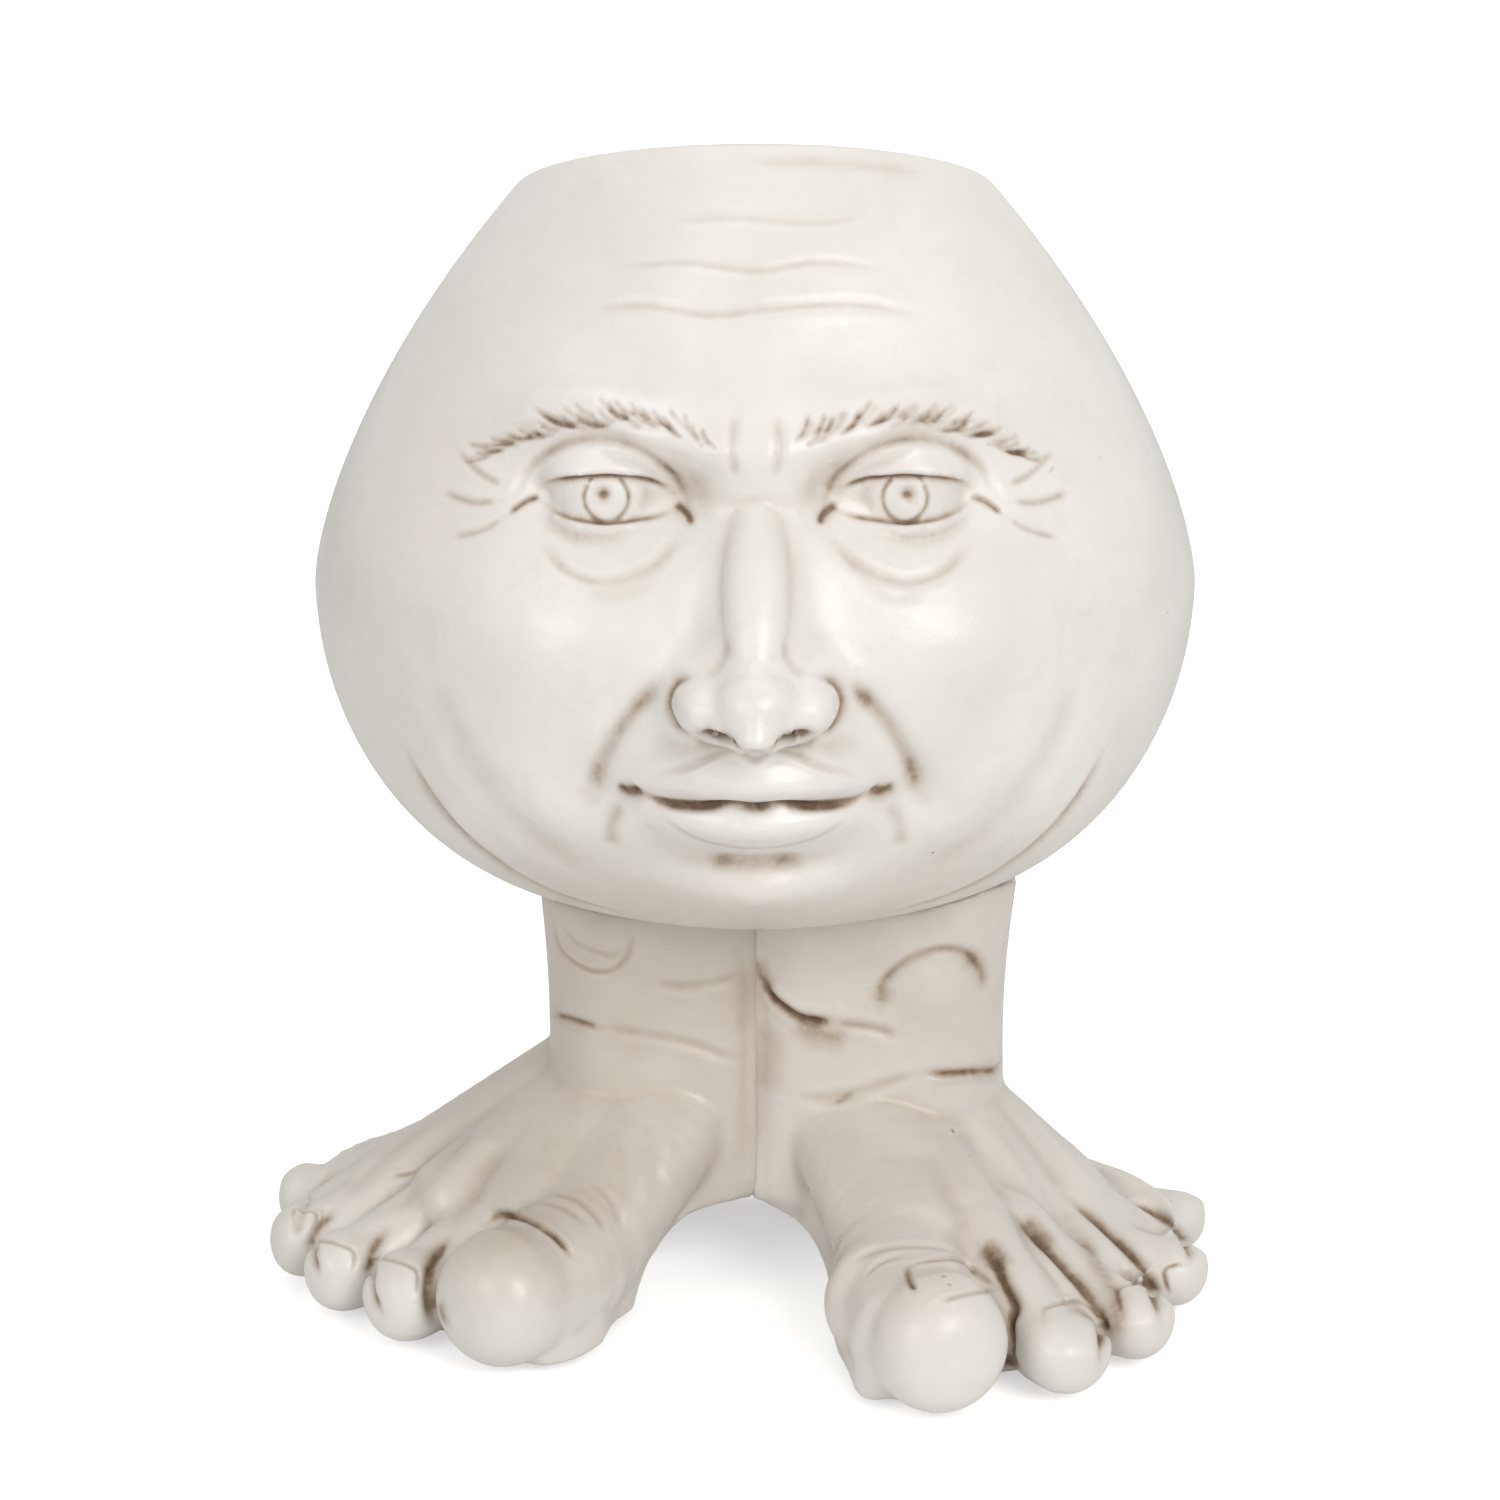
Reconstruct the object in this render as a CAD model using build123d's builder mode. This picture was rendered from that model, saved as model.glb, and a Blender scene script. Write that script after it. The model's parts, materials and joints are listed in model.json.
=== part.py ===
"""Head planter: a hollow cast head, open at the crown, standing on two bare feet.

The head pot is one hollow casting with the face on its front. Two solid castings, each an
ankle with its foot, stand side by side under it and meet at a flat seam. A steel dowel in each
ankle locates the pot. A rubber plug closes the drain hole from below, in a channel between the
heels, and rubber pads under the soles take the weight. Sizes are in millimetres.
The front faces -Y, +X is the planter's left, and the origin is on the ground, in the middle of
its footprint.
"""

from build123d import *
import math
import os

os.makedirs("parts", exist_ok=True)

# Pot outside
pot_width = 228.0
pot_depth = 204.0
pot_axis_y = 14.5
pot_bottom_height = 104.0
belly_height = 185.0
flat_bottom_radius = 46.0
mouth_front_height = 301.0
mouth_tilt = 18.0
cut_off_crown = 34.0
crown_rise = mouth_front_height + cut_off_crown - belly_height
crown_power = 1.5
crown_taper = 0.8

# Pot inside
pot_wall = 9.5
inside_crown_drop = 1.3 * pot_wall
floor_thickness = 15.0
floor_radius = 46.0
rim_round = 3.0

# Face, set out by the classical rule of three equal parts in height and five in width
chin_rise = 8.0
chin_height = pot_bottom_height + chin_rise
face_width = 175.0
face_third = (mouth_front_height - chin_height) / 3
brow_height = mouth_front_height - face_third
nose_base_height = brow_height - face_third
lip_line_height = nose_base_height - face_third / 3
eye_line_height = brow_height - face_third / 4
eye_width = face_width / 5

# Eyes
eyeball_radius = 15.0
eyeball_depth = 9.5
lid_thickness = 1.8
upper_lid_angle = 24.0
lower_lid_angle = 18.0

# Nose
nose_root_width = 15.0
nose_tip_width = 25.0
nose_projection = 24.0
nose_under_round = 5.0
nostril_width = 6.0

# Mouth
lip_half_width = 29.0
upper_lip_height = 12.0
lower_lip_height = 15.0
upper_lip_projection = 5.0
lower_lip_projection = 6.0
lip_groove_height = 2.6
lip_groove_depth = 3.0

# Soft swellings and hollows of the face: place across, height over the chin, spread across, spread
# up and rise out of the egg, less than zero for a hollow. Heights and spreads up are shares of a
# third of the face, the others of an eye's width.
face_form_shares = {
    "cheekbone": (1.43, 1.25, 0.74, 0.295, 0.2),
    "brow ridge": (0.86, 1.97, 0.77, 0.14, 0.2),
    "middle of the brow": (0.0, 2.0, 0.46, 0.22, 0.115),
    "eye hollow": (1.0, 1.75, 0.54, 0.187, -0.17),
    "inner corner of the eye": (0.51, 1.81, 0.23, 0.17, -0.086),
    "forehead": (0.0, 2.53, 1.71, 0.4, 0.086),
    "wing of the nose": (0.385, 1.1, 0.186, 0.109, 0.286),
    "tip of the nose": (0.0, 1.124, 0.257, 0.124, 0.114),
    "muzzle": (0.0, 0.713, 0.914, 0.311, 0.229),
    "corner of the mouth": (1.086, 0.667, 0.257, 0.155, -0.1),
    "hollow under the lip": (0.0, 0.387, 0.571, 0.093, -0.143),
    "chin": (0.0, 0.218, 0.714, 0.202, 0.314),
    "jowl": (1.77, 0.54, 0.686, 0.342, 0.114),
}

# Sections of the head under the chin, steps between the others, and steps in degrees between the
# points of one section, with the half angle of the middle of the face
under_sections = 5
fine_section_step = 3.5
plain_section_step = 8.0
middle_point_step = 2
side_point_step = 6
back_point_step = 15
middle_of_face = 36

# Ankles and feet. The pieces are drawn about the seam between the ankles, then moved over to the
# middle of the footprint
seam_x = 4.3
ankle_lead = 2.0
ankle_y = pot_axis_y - ankle_lead
ankle_depth = 74.0
ankle_corner_share = 0.34
seam_gap = 0.2
glue_gap = 0.2
sole_height = 2.0
right_ankle_offset, right_ankle_width = 24.0, 64.0
left_ankle_offset, left_ankle_width = 29.0, 78.0
right_foot_reach, right_ball_width, right_foot_yaw = 92.0, 112.0, 39.5
left_foot_reach, left_ball_width, left_foot_yaw = 106.0, 116.0, 25.4
instep_height = 76.0
outer_drop_share = 0.46
big_toe_radius = 17.0
nail_thickness = 0.8
toe_waist_share = 0.88
toe_knuckle_place_share = 0.74
toe_knuckle_share = 1.0
toe_end_share = 0.6
nail_setback_share = 0.15
nail_width_share = 1.1
nail_length_share = 0.9

# Dowels
dowel_radius = 4.0
dowel_depth_in_pot = 9.0
dowel_depth_in_ankle = 45.0
dowel_clearance = 0.05

# Drain hole, its plug and the channel between the heels
drain_radius = 6.0
drain_setback = 34.0
drain_y = pot_axis_y + drain_setback
drain_channel_radius = 12.5
plug_clearance = 0.05
plug_flange_radius = 9.5
plug_flange_thickness = 3.0
plug_shortfall = 1.0
plug_lead_in = 1.0
tab_width = 9.0
tab_length = 10.0
tab_thickness = 3.0
tab_eye_radius = 2.2

# Arch under the seam, between the two feet
arch_width = 54.0
arch_height = 24.0
arch_length = 124.0
arch_shift = 5.0
arch_wall = 5.5

# Sole pads
pad_radius = 9.0
pad_edge_round = 0.5

overrun = 1.0


def crown_share(height, rise):
    """How much of its full width the pot keeps at a height over the belly."""
    return (1 - min((height - belly_height) / rise, 1) ** crown_power) ** crown_taper


def pot_radius(height):
    """Half of the pot's width at a height."""
    half_width = pot_width / 2
    if height < belly_height:
        share = (belly_height - height) / (belly_height - pot_bottom_height)
        return flat_bottom_radius + (half_width - flat_bottom_radius) * math.sqrt(1 - share**2)
    return half_width * crown_share(height, crown_rise)


def nose_rise(across, height):
    """How far the bridge of the nose stands out, with its rounded underside."""
    up_share = max((height - nose_base_height) / (eye_line_height - nose_base_height), 0)
    ridge = nose_projection * max(1 - up_share, 0)
    half_width = nose_tip_width / 2 + (nose_root_width - nose_tip_width) / 2 * min(up_share, 1)
    below = min(height - nose_base_height, 0) / nose_under_round
    return ridge * math.exp(-((across / half_width) ** 2) - below**2)


def lip_rise(across, height):
    """How far the closed lips stand out, with the groove between them."""
    along = min(abs(across) / lip_half_width, 1)
    fullness = 1 - along**2
    above = height - lip_line_height
    total = 0
    for thickness, projection, direction in (
        (upper_lip_height, upper_lip_projection, 1),
        (lower_lip_height, lower_lip_projection, -1),
    ):
        half = thickness * (1 + fullness) / 4
        total += projection * fullness * math.exp(-(((above - direction * half) / half) ** 2))
    return total - lip_groove_depth * math.sqrt(fullness) * math.exp(-((above / lip_groove_height) ** 2))


def relief(across, height):
    """How far the forms of the face raise the egg's surface at a point."""
    total = nose_rise(across, height) + lip_rise(across, height)
    out = across / eye_width
    up = (height - chin_height) / face_third
    for centre, level, spread_across, spread_up, rise in face_form_shares.values():
        for middle in {centre, -centre}:
            distance = ((out - middle) / spread_across) ** 2 + ((up - level) / spread_up) ** 2
            total += rise * eye_width * math.exp(-distance)
    return total


def skin_y(across, height):
    """Y of the head's front surface, a distance to one side of the middle."""
    reach = math.sqrt(max(pot_radius(height) ** 2 - across**2, 0))
    return pot_axis_y - pot_depth / pot_width * reach - relief(across, height)


def section_angles():
    """Angles round the head from its left side over the face and back, close together at the nose."""
    half_turn = 180
    side = half_turn // 2
    angles = list(range(-side, -middle_of_face, side_point_step))
    angles += list(range(-middle_of_face, middle_of_face, middle_point_step))
    angles += list(range(middle_of_face, side, side_point_step))
    angles += list(range(side, side + half_turn, back_point_step))
    return [math.radians(angle) for angle in angles]


def head_section(height):
    """Closed outline of the head at a height: the face in front, a plain half ellipse behind."""
    radius = pot_radius(height)
    angles = section_angles()
    points = []
    for angle in angles:
        across = radius * math.sin(angle)
        behind = pot_axis_y - pot_depth / pot_width * radius * math.cos(angle)
        points.append((across, skin_y(across, height) if math.cos(angle) > 0 else behind))
    with BuildSketch(Plane.XY.offset(height)) as outline:
        with BuildLine():
            add(Edge.make_spline(points, periodic=True, parameters=[*angles, angles[0] + math.tau]))
        make_face()
    return outline.sketch


def head_form():
    """Solid head, drawn from sections that lie close together under the chin and over the face."""
    drop = belly_height - pot_bottom_height
    under_angle = math.acos((belly_height - chin_height) / drop)
    under = [under_angle * step / under_sections for step in range(under_sections)]
    heights = [belly_height - drop * math.cos(angle) for angle in under] + [chin_height]
    top = mouth_front_height + overrun
    for start, end, step in (
        (chin_height, brow_height, fine_section_step),
        (brow_height, top, plain_section_step),
    ):
        steps = round((end - start) / step)
        heights += [start + (end - start) * count / steps for count in range(1, steps + 1)]
    return loft([head_section(height) for height in heights])


def egg(width, depth, bottom_height, flat_radius, rise):
    """Egg on the pot's axis with a flat bottom: a quarter ellipse under a tapering crown."""
    half_width = width / 2
    crown_steps = 12
    heights = [rise * step / crown_steps for step in range(crown_steps)]
    crown = [(half_width * crown_share(belly_height + up, rise), belly_height + up) for up in heights]
    crown.append((0, belly_height + rise))
    with BuildPart() as form:
        with BuildSketch(Plane.XZ):
            with BuildLine():
                Polyline(
                    (0, bottom_height - overrun),
                    (flat_radius, bottom_height - overrun),
                    (flat_radius, bottom_height),
                )
                EllipticalCenterArc(
                    (flat_radius, belly_height),
                    half_width - flat_radius,
                    belly_height - bottom_height,
                    start_angle=270,
                    arc_size=90,
                )
                Spline(*crown, tangents=((0, 1), (-1, -crown_taper)))
                Line((0, belly_height + rise), (0, bottom_height - overrun))
            make_face()
        revolve(axis=Axis.Z)
        scale(by=(1, depth / width, 1))
        split(bisect_by=Plane.XY.offset(bottom_height), keep=Keep.TOP)
    return Location((0, pot_axis_y, 0)) * form.part


def lump(centre, half_sizes):
    """Ball stretched to three half sizes."""
    ball = Sphere(1, mode=Mode.PRIVATE)
    return Location(centre) * scale(ball, by=half_sizes, mode=Mode.PRIVATE)


def nostril(side):
    """Hollow of one nostril."""
    across = side * nostril_width * 1.1
    height = nose_base_height - nose_under_round / 2
    half_sizes = (nostril_width / 2, nostril_width * 0.8, nostril_width * 0.8)
    return lump((across, skin_y(across, height), height), half_sizes)


def eye_centre(side):
    """Centre of one eyeball."""
    across = side * eye_width
    return (across, skin_y(across, eye_line_height) + eyeball_depth, eye_line_height)


def lids(side):
    """Upper and lower lid: a shell round the eyeball with an almond-shaped opening."""
    outer_radius = eyeball_radius + lid_thickness
    reach = outer_radius + overrun
    with BuildPart() as form:
        Sphere(outer_radius)
        with BuildSketch(Plane.YZ.offset(-reach)):
            with BuildLine():
                Polyline(
                    (0, 0),
                    (-reach, reach * math.tan(math.radians(upper_lid_angle))),
                    (-reach, -reach * math.tan(math.radians(lower_lid_angle))),
                    close=True,
                )
            make_face()
        extrude(amount=2 * reach, mode=Mode.SUBTRACT)
    return Location(eye_centre(side)) * form.part


def eyeball(side):
    """Ball of one eye."""
    return lump(eye_centre(side), (eyeball_radius, eyeball_radius, eyeball_radius))


def make_head_pot():
    """Hollow head with the face on its front, drain hole and two dowel pockets below."""
    mouth_front_y = skin_y(0, mouth_front_height)
    lean = math.radians(mouth_tilt)
    mouth_plane = Plane(
        origin=(0, mouth_front_y, mouth_front_height),
        x_dir=(1, 0, 0),
        z_dir=(0, math.sin(lean), math.cos(lean)),
    )
    outside = head_form()
    inside = egg(
        pot_width - 2 * pot_wall,
        pot_depth - 2 * pot_wall,
        pot_bottom_height + floor_thickness,
        floor_radius,
        crown_rise - inside_crown_drop,
    )
    sides = (-1, 1)
    eyes = [eyeball(side) for side in sides] + [lids(side) for side in sides]
    nostrils = [nostril(side) for side in sides]
    with BuildPart() as head_pot:
        add(outside)
        add(eyes)
        add(nostrils, mode=Mode.SUBTRACT)
        split(bisect_by=mouth_plane, keep=Keep.BOTTOM)
        split(bisect_by=Plane.XY.offset(pot_bottom_height), keep=Keep.TOP)
        add(inside, mode=Mode.SUBTRACT)
        with Locations((0, drain_y, pot_bottom_height - overrun)):
            Cylinder(
                drain_radius,
                floor_thickness + 2 * overrun,
                align=(Align.CENTER, Align.CENTER, Align.MIN),
                mode=Mode.SUBTRACT,
            )
        for side, offset in ((-1, right_ankle_offset), (1, left_ankle_offset)):
            with Locations((side * offset, ankle_y, pot_bottom_height - overrun)):
                Cylinder(
                    dowel_radius,
                    dowel_depth_in_pot + overrun,
                    align=(Align.CENTER, Align.CENTER, Align.MIN),
                    mode=Mode.SUBTRACT,
                )
        rim_face = head_pot.faces().filter_by(mouth_plane)[0]
        fillet(rim_face.edges(), rim_round)
    return head_pot.part


# Sections of each foot from inside the ankle to the toes: place along as a share of the reach,
# middle and half width as shares of the ball width, the middle counted towards the big toe, and
# height as a share of the instep
right_station_shares = (
    (-0.10, 0.00, 0.20, 0.80),
    (0.06, 0.00, 0.27, 0.92),
    (0.22, -0.04, 0.32, 0.93),
    (0.36, -0.12, 0.38, 0.79),
    (0.49, -0.16, 0.43, 0.63),
    (0.64, -0.16, 0.47, 0.48),
    (0.77, -0.12, 0.46, 0.37),
    (0.88, -0.06, 0.40, 0.27),
    (0.96, 0.00, 0.30, 0.17),
)
left_station_shares = (
    (-0.08, 0.00, 0.22, 0.80),
    (0.06, 0.00, 0.29, 0.92),
    (0.20, -0.04, 0.34, 0.93),
    (0.33, -0.12, 0.39, 0.80),
    (0.45, -0.13, 0.42, 0.65),
    (0.58, -0.10, 0.44, 0.51),
    (0.71, -0.03, 0.41, 0.40),
    (0.83, 0.05, 0.36, 0.30),
    (0.93, 0.11, 0.28, 0.19),
)

# Tips of the toes from the big toe outwards: place across as a share of the ball width, counted
# towards the big toe, and place along as a share of the reach
right_tip_shares = ((0.216, 1.141), (-0.045, 1.16), (-0.284, 1.126), (-0.502, 1.023), (-0.70, 0.771))
left_tip_shares = ((0.29, 1.136), (-0.002, 1.15), (-0.232, 1.056), (-0.462, 0.832), (-0.633, 0.543))


def foot_body(side, reach, ball_width, station_shares):
    """Foot without toes, from inside the ankle to the ball, toes towards -Y, lower outside."""
    # Centre of each section as a share of its height, low enough for the sole to be cut flat
    centre_share = 0.34
    half_section_steps = 8
    angles = [math.pi * count / half_section_steps for count in range(2 * half_section_steps + 1)]
    with BuildPart() as form:
        for along, middle, half_width, height in station_shares:
            top = height * instep_height
            place = (-side * middle * ball_width, -along * reach, centre_share * top)
            outline = []
            for angle in angles:
                outside = (1 - math.cos(angle)) / 2
                rise = (1 - centre_share) * top * math.sin(angle) * (1 - outer_drop_share * outside)
                outline.append((-side * half_width * ball_width * math.cos(angle), rise))
            with BuildSketch(Plane(origin=place, x_dir=(1, 0, 0), z_dir=(0, -1, 0))):
                with BuildLine():
                    Spline(*outline[: half_section_steps + 1], tangents=((0, 1), (0, -1)))
                    Spline(*outline[half_section_steps:-1], outline[0], tangents=((0, -1), (0, 1)))
                make_face()
        loft()
    return form.part


def toe(across, along, radius, stretch, spread):
    """One toe, turned from its round tip over its knuckle into the foot, with a thin nail on top."""
    length = 2 * radius * stretch
    outline = [
        (0, 0),
        (radius, radius),
        (2 * radius, toe_waist_share * radius),
        (toe_knuckle_place_share * length, toe_knuckle_share * radius),
        (length, toe_end_share * radius),
    ]
    with BuildPart() as form:
        with BuildSketch(Plane(origin=(0, 0, radius), x_dir=(0, 1, 0), z_dir=(1, 0, 0))):
            with BuildLine():
                Spline(*outline, tangents=((0, 1), (1, -1)))
                Polyline(outline[-1], (length, 0), outline[0])
            make_face()
        revolve(axis=Axis((0, 0, radius), (0, 1, 0)))
        nail_skin = lump((0, radius, radius), 3 * (radius + nail_thickness,))
        with Locations((0, radius * nail_setback_share, radius)):
            nail_block = Box(
                radius * nail_width_share,
                radius * nail_length_share,
                radius + nail_thickness,
                align=(Align.CENTER, Align.MIN, Align.MIN),
                mode=Mode.PRIVATE,
            )
        add(nail_skin & nail_block)
    return Location((across, -along, sole_height), (0, 0, spread)) * form.part


def arch_form():
    """Space between the feet, low in front of the drain channel and a little nearer the right foot."""
    back_y = drain_y - drain_channel_radius - arch_wall
    centre = (-arch_shift, back_y - arch_length / 2, 0)
    return lump(centre, (arch_width / 2, arch_length / 2, arch_height))


def make_leg_and_foot(side, ankle_offset, reach, ball_width, yaw, ankle_width, station_shares, tip_shares):
    """Ankle and foot as one solid casting. side is -1 for the right foot and 1 for the left."""
    # Radius of each toe as a share of the big toe's, then its stretch and its spread in degrees
    toe_shares = ((1.00, 1.6, 3), (0.68, 2.3, -4), (0.62, 2.4, -14), (0.57, 2.4, -24), (0.52, 2.1, -34))
    body = foot_body(side, reach, ball_width, station_shares)
    toes = [
        toe(-side * across * ball_width, along * reach, size * big_toe_radius, stretch, -side * spread)
        for (across, along), (size, stretch, spread) in zip(tip_shares, toe_shares)
    ]
    pot_outside = egg(
        pot_width + 2 * glue_gap,
        pot_depth + 2 * glue_gap,
        pot_bottom_height - glue_gap,
        flat_bottom_radius,
        crown_rise + glue_gap,
    )
    arch = arch_form()
    with BuildPart() as foot:
        add(body)
        add(toes)
    placed_foot = Location((side * ankle_offset, ankle_y, 0), (0, 0, side * yaw)) * foot.part

    # Height up the ankle as a share of the pot's bottom height, then width and depth shares
    ankle_shares = (
        (0.0, 0.84, 0.90),
        (0.3, 0.97, 1.06),
        (0.62, 0.95, 0.98),
        (0.85, 0.97, 0.98),
        (1.2, 1.06, 1.04),
    )
    with BuildPart() as leg:
        for up_share, width_share, depth_share in ankle_shares:
            with BuildSketch(Plane.XY.offset(up_share * pot_bottom_height)):
                with Locations((side * ankle_offset, ankle_y)):
                    width = width_share * ankle_width
                    depth = depth_share * ankle_depth
                    RectangleRounded(width, depth, ankle_corner_share * min(width, depth))
        loft()
        add(placed_foot)
        split(bisect_by=Plane.XY.offset(sole_height), keep=Keep.TOP)
        seam = Plane(origin=(side * seam_gap / 2, 0, 0), x_dir=(0, 1, 0), z_dir=(side, 0, 0))
        split(bisect_by=seam, keep=Keep.TOP)
        add(pot_outside, mode=Mode.SUBTRACT)
        add(arch, mode=Mode.SUBTRACT)
        with Locations((0, drain_y, -overrun)):
            Cylinder(
                drain_channel_radius,
                pot_bottom_height + 2 * overrun,
                align=(Align.CENTER, Align.CENTER, Align.MIN),
                mode=Mode.SUBTRACT,
            )
        with Locations((side * ankle_offset, ankle_y, pot_bottom_height + overrun)):
            Cylinder(
                dowel_radius,
                dowel_depth_in_ankle + overrun,
                align=(Align.CENTER, Align.CENTER, Align.MAX),
                mode=Mode.SUBTRACT,
            )
    return leg.part


def make_dowel(side, ankle_offset):
    """Steel pin between the ankle and the pot's bottom."""
    length = dowel_depth_in_pot + dowel_depth_in_ankle - 2 * dowel_clearance
    top = pot_bottom_height + dowel_depth_in_pot - dowel_clearance
    with BuildPart() as dowel:
        with Locations((side * ankle_offset, ankle_y, top)):
            Cylinder(
                dowel_radius - dowel_clearance,
                length,
                align=(Align.CENTER, Align.CENTER, Align.MAX),
            )
        chamfer(dowel.edges().filter_by(GeomType.CIRCLE), dowel_radius / 5)
    return dowel.part


def make_drain_plug():
    """Rubber bung with a flange below the pot's bottom and a tab to pull it by."""
    with BuildPart() as plug:
        with Locations((0, drain_y, pot_bottom_height)):
            Cylinder(
                drain_radius - plug_clearance,
                floor_thickness - plug_shortfall,
                align=(Align.CENTER, Align.CENTER, Align.MIN),
            )
        chamfer(plug.edges().group_by(Axis.Z)[-1], plug_lead_in)
        with Locations((0, drain_y, pot_bottom_height)):
            Cylinder(
                plug_flange_radius,
                plug_flange_thickness,
                align=(Align.CENTER, Align.CENTER, Align.MAX),
            )
        fillet(plug.edges().group_by(Axis.Z)[0], plug_flange_thickness / 3)
        tab_plane = Plane(
            origin=(0, drain_y, pot_bottom_height - plug_flange_thickness),
            x_dir=(1, 0, 0),
            z_dir=(0, -1, 0),
        )
        with BuildSketch(tab_plane):
            with Locations((0, -(tab_length - tab_width / 2) / 2)):
                Rectangle(tab_width, tab_length - tab_width / 2 + overrun / 2)
            with Locations((0, -(tab_length - tab_width / 2))):
                Circle(tab_width / 2)
                Circle(tab_eye_radius, mode=Mode.SUBTRACT)
        extrude(amount=tab_thickness / 2, both=True)
    return plug.part


def make_sole_pads(side, ankle_offset, reach, ball_width, yaw):
    """Three round rubber pads under one sole: heel, ball by the big toe and ball by the small toes."""
    # Place across towards the big toe as a share of the ball width, and along as a share of the reach
    pad_shares = ((-0.13, -0.1), (0.18, 0.66), (-0.36, 0.48))
    places = [(-side * across * ball_width, -along * reach) for across, along in pad_shares]
    with BuildPart() as pads:
        with Locations(Location((side * ankle_offset, ankle_y, 0), (0, 0, side * yaw))):
            with Locations(*places):
                Cylinder(pad_radius, sole_height, align=(Align.CENTER, Align.CENTER, Align.MIN))
        fillet(pads.edges().filter_by(GeomType.CIRCLE).group_by(Axis.Z)[0], pad_edge_round)
    return pads.part


right_foot = (-1, right_ankle_offset, right_foot_reach, right_ball_width, right_foot_yaw)
left_foot = (1, left_ankle_offset, left_foot_reach, left_ball_width, left_foot_yaw)

parts = {
    "head_pot": make_head_pot(),
    "right_leg_and_foot": make_leg_and_foot(
        *right_foot, right_ankle_width, right_station_shares, right_tip_shares
    ),
    "left_leg_and_foot": make_leg_and_foot(
        *left_foot, left_ankle_width, left_station_shares, left_tip_shares
    ),
    "right_ankle_dowel": make_dowel(-1, right_ankle_offset),
    "left_ankle_dowel": make_dowel(1, left_ankle_offset),
    "drain_plug": make_drain_plug(),
    "right_sole_pads": make_sole_pads(*right_foot),
    "left_sole_pads": make_sole_pads(*left_foot),
}

for name, part in parts.items():
    placed = part.moved(Location((seam_x, 0, 0)))
    placed.label = name
    export_step(placed, f"parts/{name}.step")
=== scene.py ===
"""Looks of a head planter: antique-white cast resin with a brown wash in its creases.

The head and the two feet are sculpted. Each starts as a copy of its solid, gets clay added as
stretched balls, is fused into one skin, and is then worked with strokes that press lines in or
raise them. The same strokes say where the brown wash gathers. The plug, the pads and the dowels
keep their solids and get their own materials.
"""
import json
import math
import random

import bpy
import numpy as np
from mathutils import Matrix, Vector
from mathutils.bvhtree import BVHTree

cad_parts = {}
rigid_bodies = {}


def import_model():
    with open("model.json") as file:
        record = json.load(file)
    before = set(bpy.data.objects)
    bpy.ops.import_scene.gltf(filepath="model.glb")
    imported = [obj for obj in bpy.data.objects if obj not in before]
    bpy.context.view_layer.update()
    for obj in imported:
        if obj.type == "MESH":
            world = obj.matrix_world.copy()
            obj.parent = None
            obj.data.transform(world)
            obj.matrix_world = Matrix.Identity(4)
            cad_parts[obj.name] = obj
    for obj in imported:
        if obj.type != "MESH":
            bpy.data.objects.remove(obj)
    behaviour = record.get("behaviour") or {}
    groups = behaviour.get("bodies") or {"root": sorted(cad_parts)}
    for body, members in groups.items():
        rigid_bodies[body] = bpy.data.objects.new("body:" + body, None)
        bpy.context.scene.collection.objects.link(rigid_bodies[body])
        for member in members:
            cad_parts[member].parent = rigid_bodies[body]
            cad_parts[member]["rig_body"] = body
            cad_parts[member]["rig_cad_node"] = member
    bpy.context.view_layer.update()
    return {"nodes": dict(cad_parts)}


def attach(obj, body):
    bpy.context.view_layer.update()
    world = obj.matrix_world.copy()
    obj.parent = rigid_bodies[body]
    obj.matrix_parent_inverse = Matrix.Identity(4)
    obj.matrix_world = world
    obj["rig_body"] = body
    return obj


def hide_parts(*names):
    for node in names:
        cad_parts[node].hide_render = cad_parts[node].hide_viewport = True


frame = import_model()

mm = 0.001

# The seam between the feet, which is the middle of the face too, and the drain hole behind it
seam_x = 4.3 * mm
drain_y = 48.5 * mm
drain_radius = 6.15 * mm
pot_bottom = 104 * mm
pot_floor = 119 * mm

# Camera of the photograph, worked out from the egg of the pot and the line of the toes. The feet
# were placed with it straight in front of the seam, and it stands a little to one side of that
camera_distance = 886 * mm
camera_height = 400 * mm
camera_pitch = math.radians(16.3)
camera_lens = 85.2
camera_aside = 1.3 * mm
photo_side = 1500

# Voxel size of the sculpted skins, and how often each is softened
skin_grain = 0.9 * mm
head_softening = 4
foot_softening = 22

# Hollows are found against a skin that is averaged this often. One of the full depth holds this
# much wash, and a shallower one less, along a curve
hollow_rounds = 22
full_hollow = 0.9 * mm
hollow_curve = 1.3
head_hollow_wash = 0.55
foot_hollow_wash = 0.4

# Strokes up to this width get finer faces, out to this distance past their own width
narrow_stroke = 1.3 * mm
refined_margin = 1.6 * mm

# Most triangles that a sculpted piece keeps. Its points are held this many widths round a stroke
# and, in steps, where wash gathers, fully from this strength on. A held point keeps this weight,
# and the weights count this much against the shape
most_triangles = 186000
thinning_rounds = 2
held_widths = 2.2
held_wash = 0.25
held_steps = 4
bound_share = 0.1
free_factor = 0.00002

# Samples along a stroke are this far apart, and a stroke fades over this share at each end, down
# to this part of its strength. It leaves skin alone that is turned away from it
sample_step = 0.5 * mm
pixel_step = 2.0
fading_share = 0.22
end_strength = 0.12
turned_our_way = 0.3

# In stroke widths: how far a stroke reaches at least, and for each unit of its wash's spread,
# where its lip stands, and how wide its step is
least_reach = 4.0
wash_reach = 2.2
lip_place = 2
step_width = 3

# Wash in a stroke: width of its dark core in stroke widths, and how strong the soft rest is
core_share = 0.85
halo_share = 0.42


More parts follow.
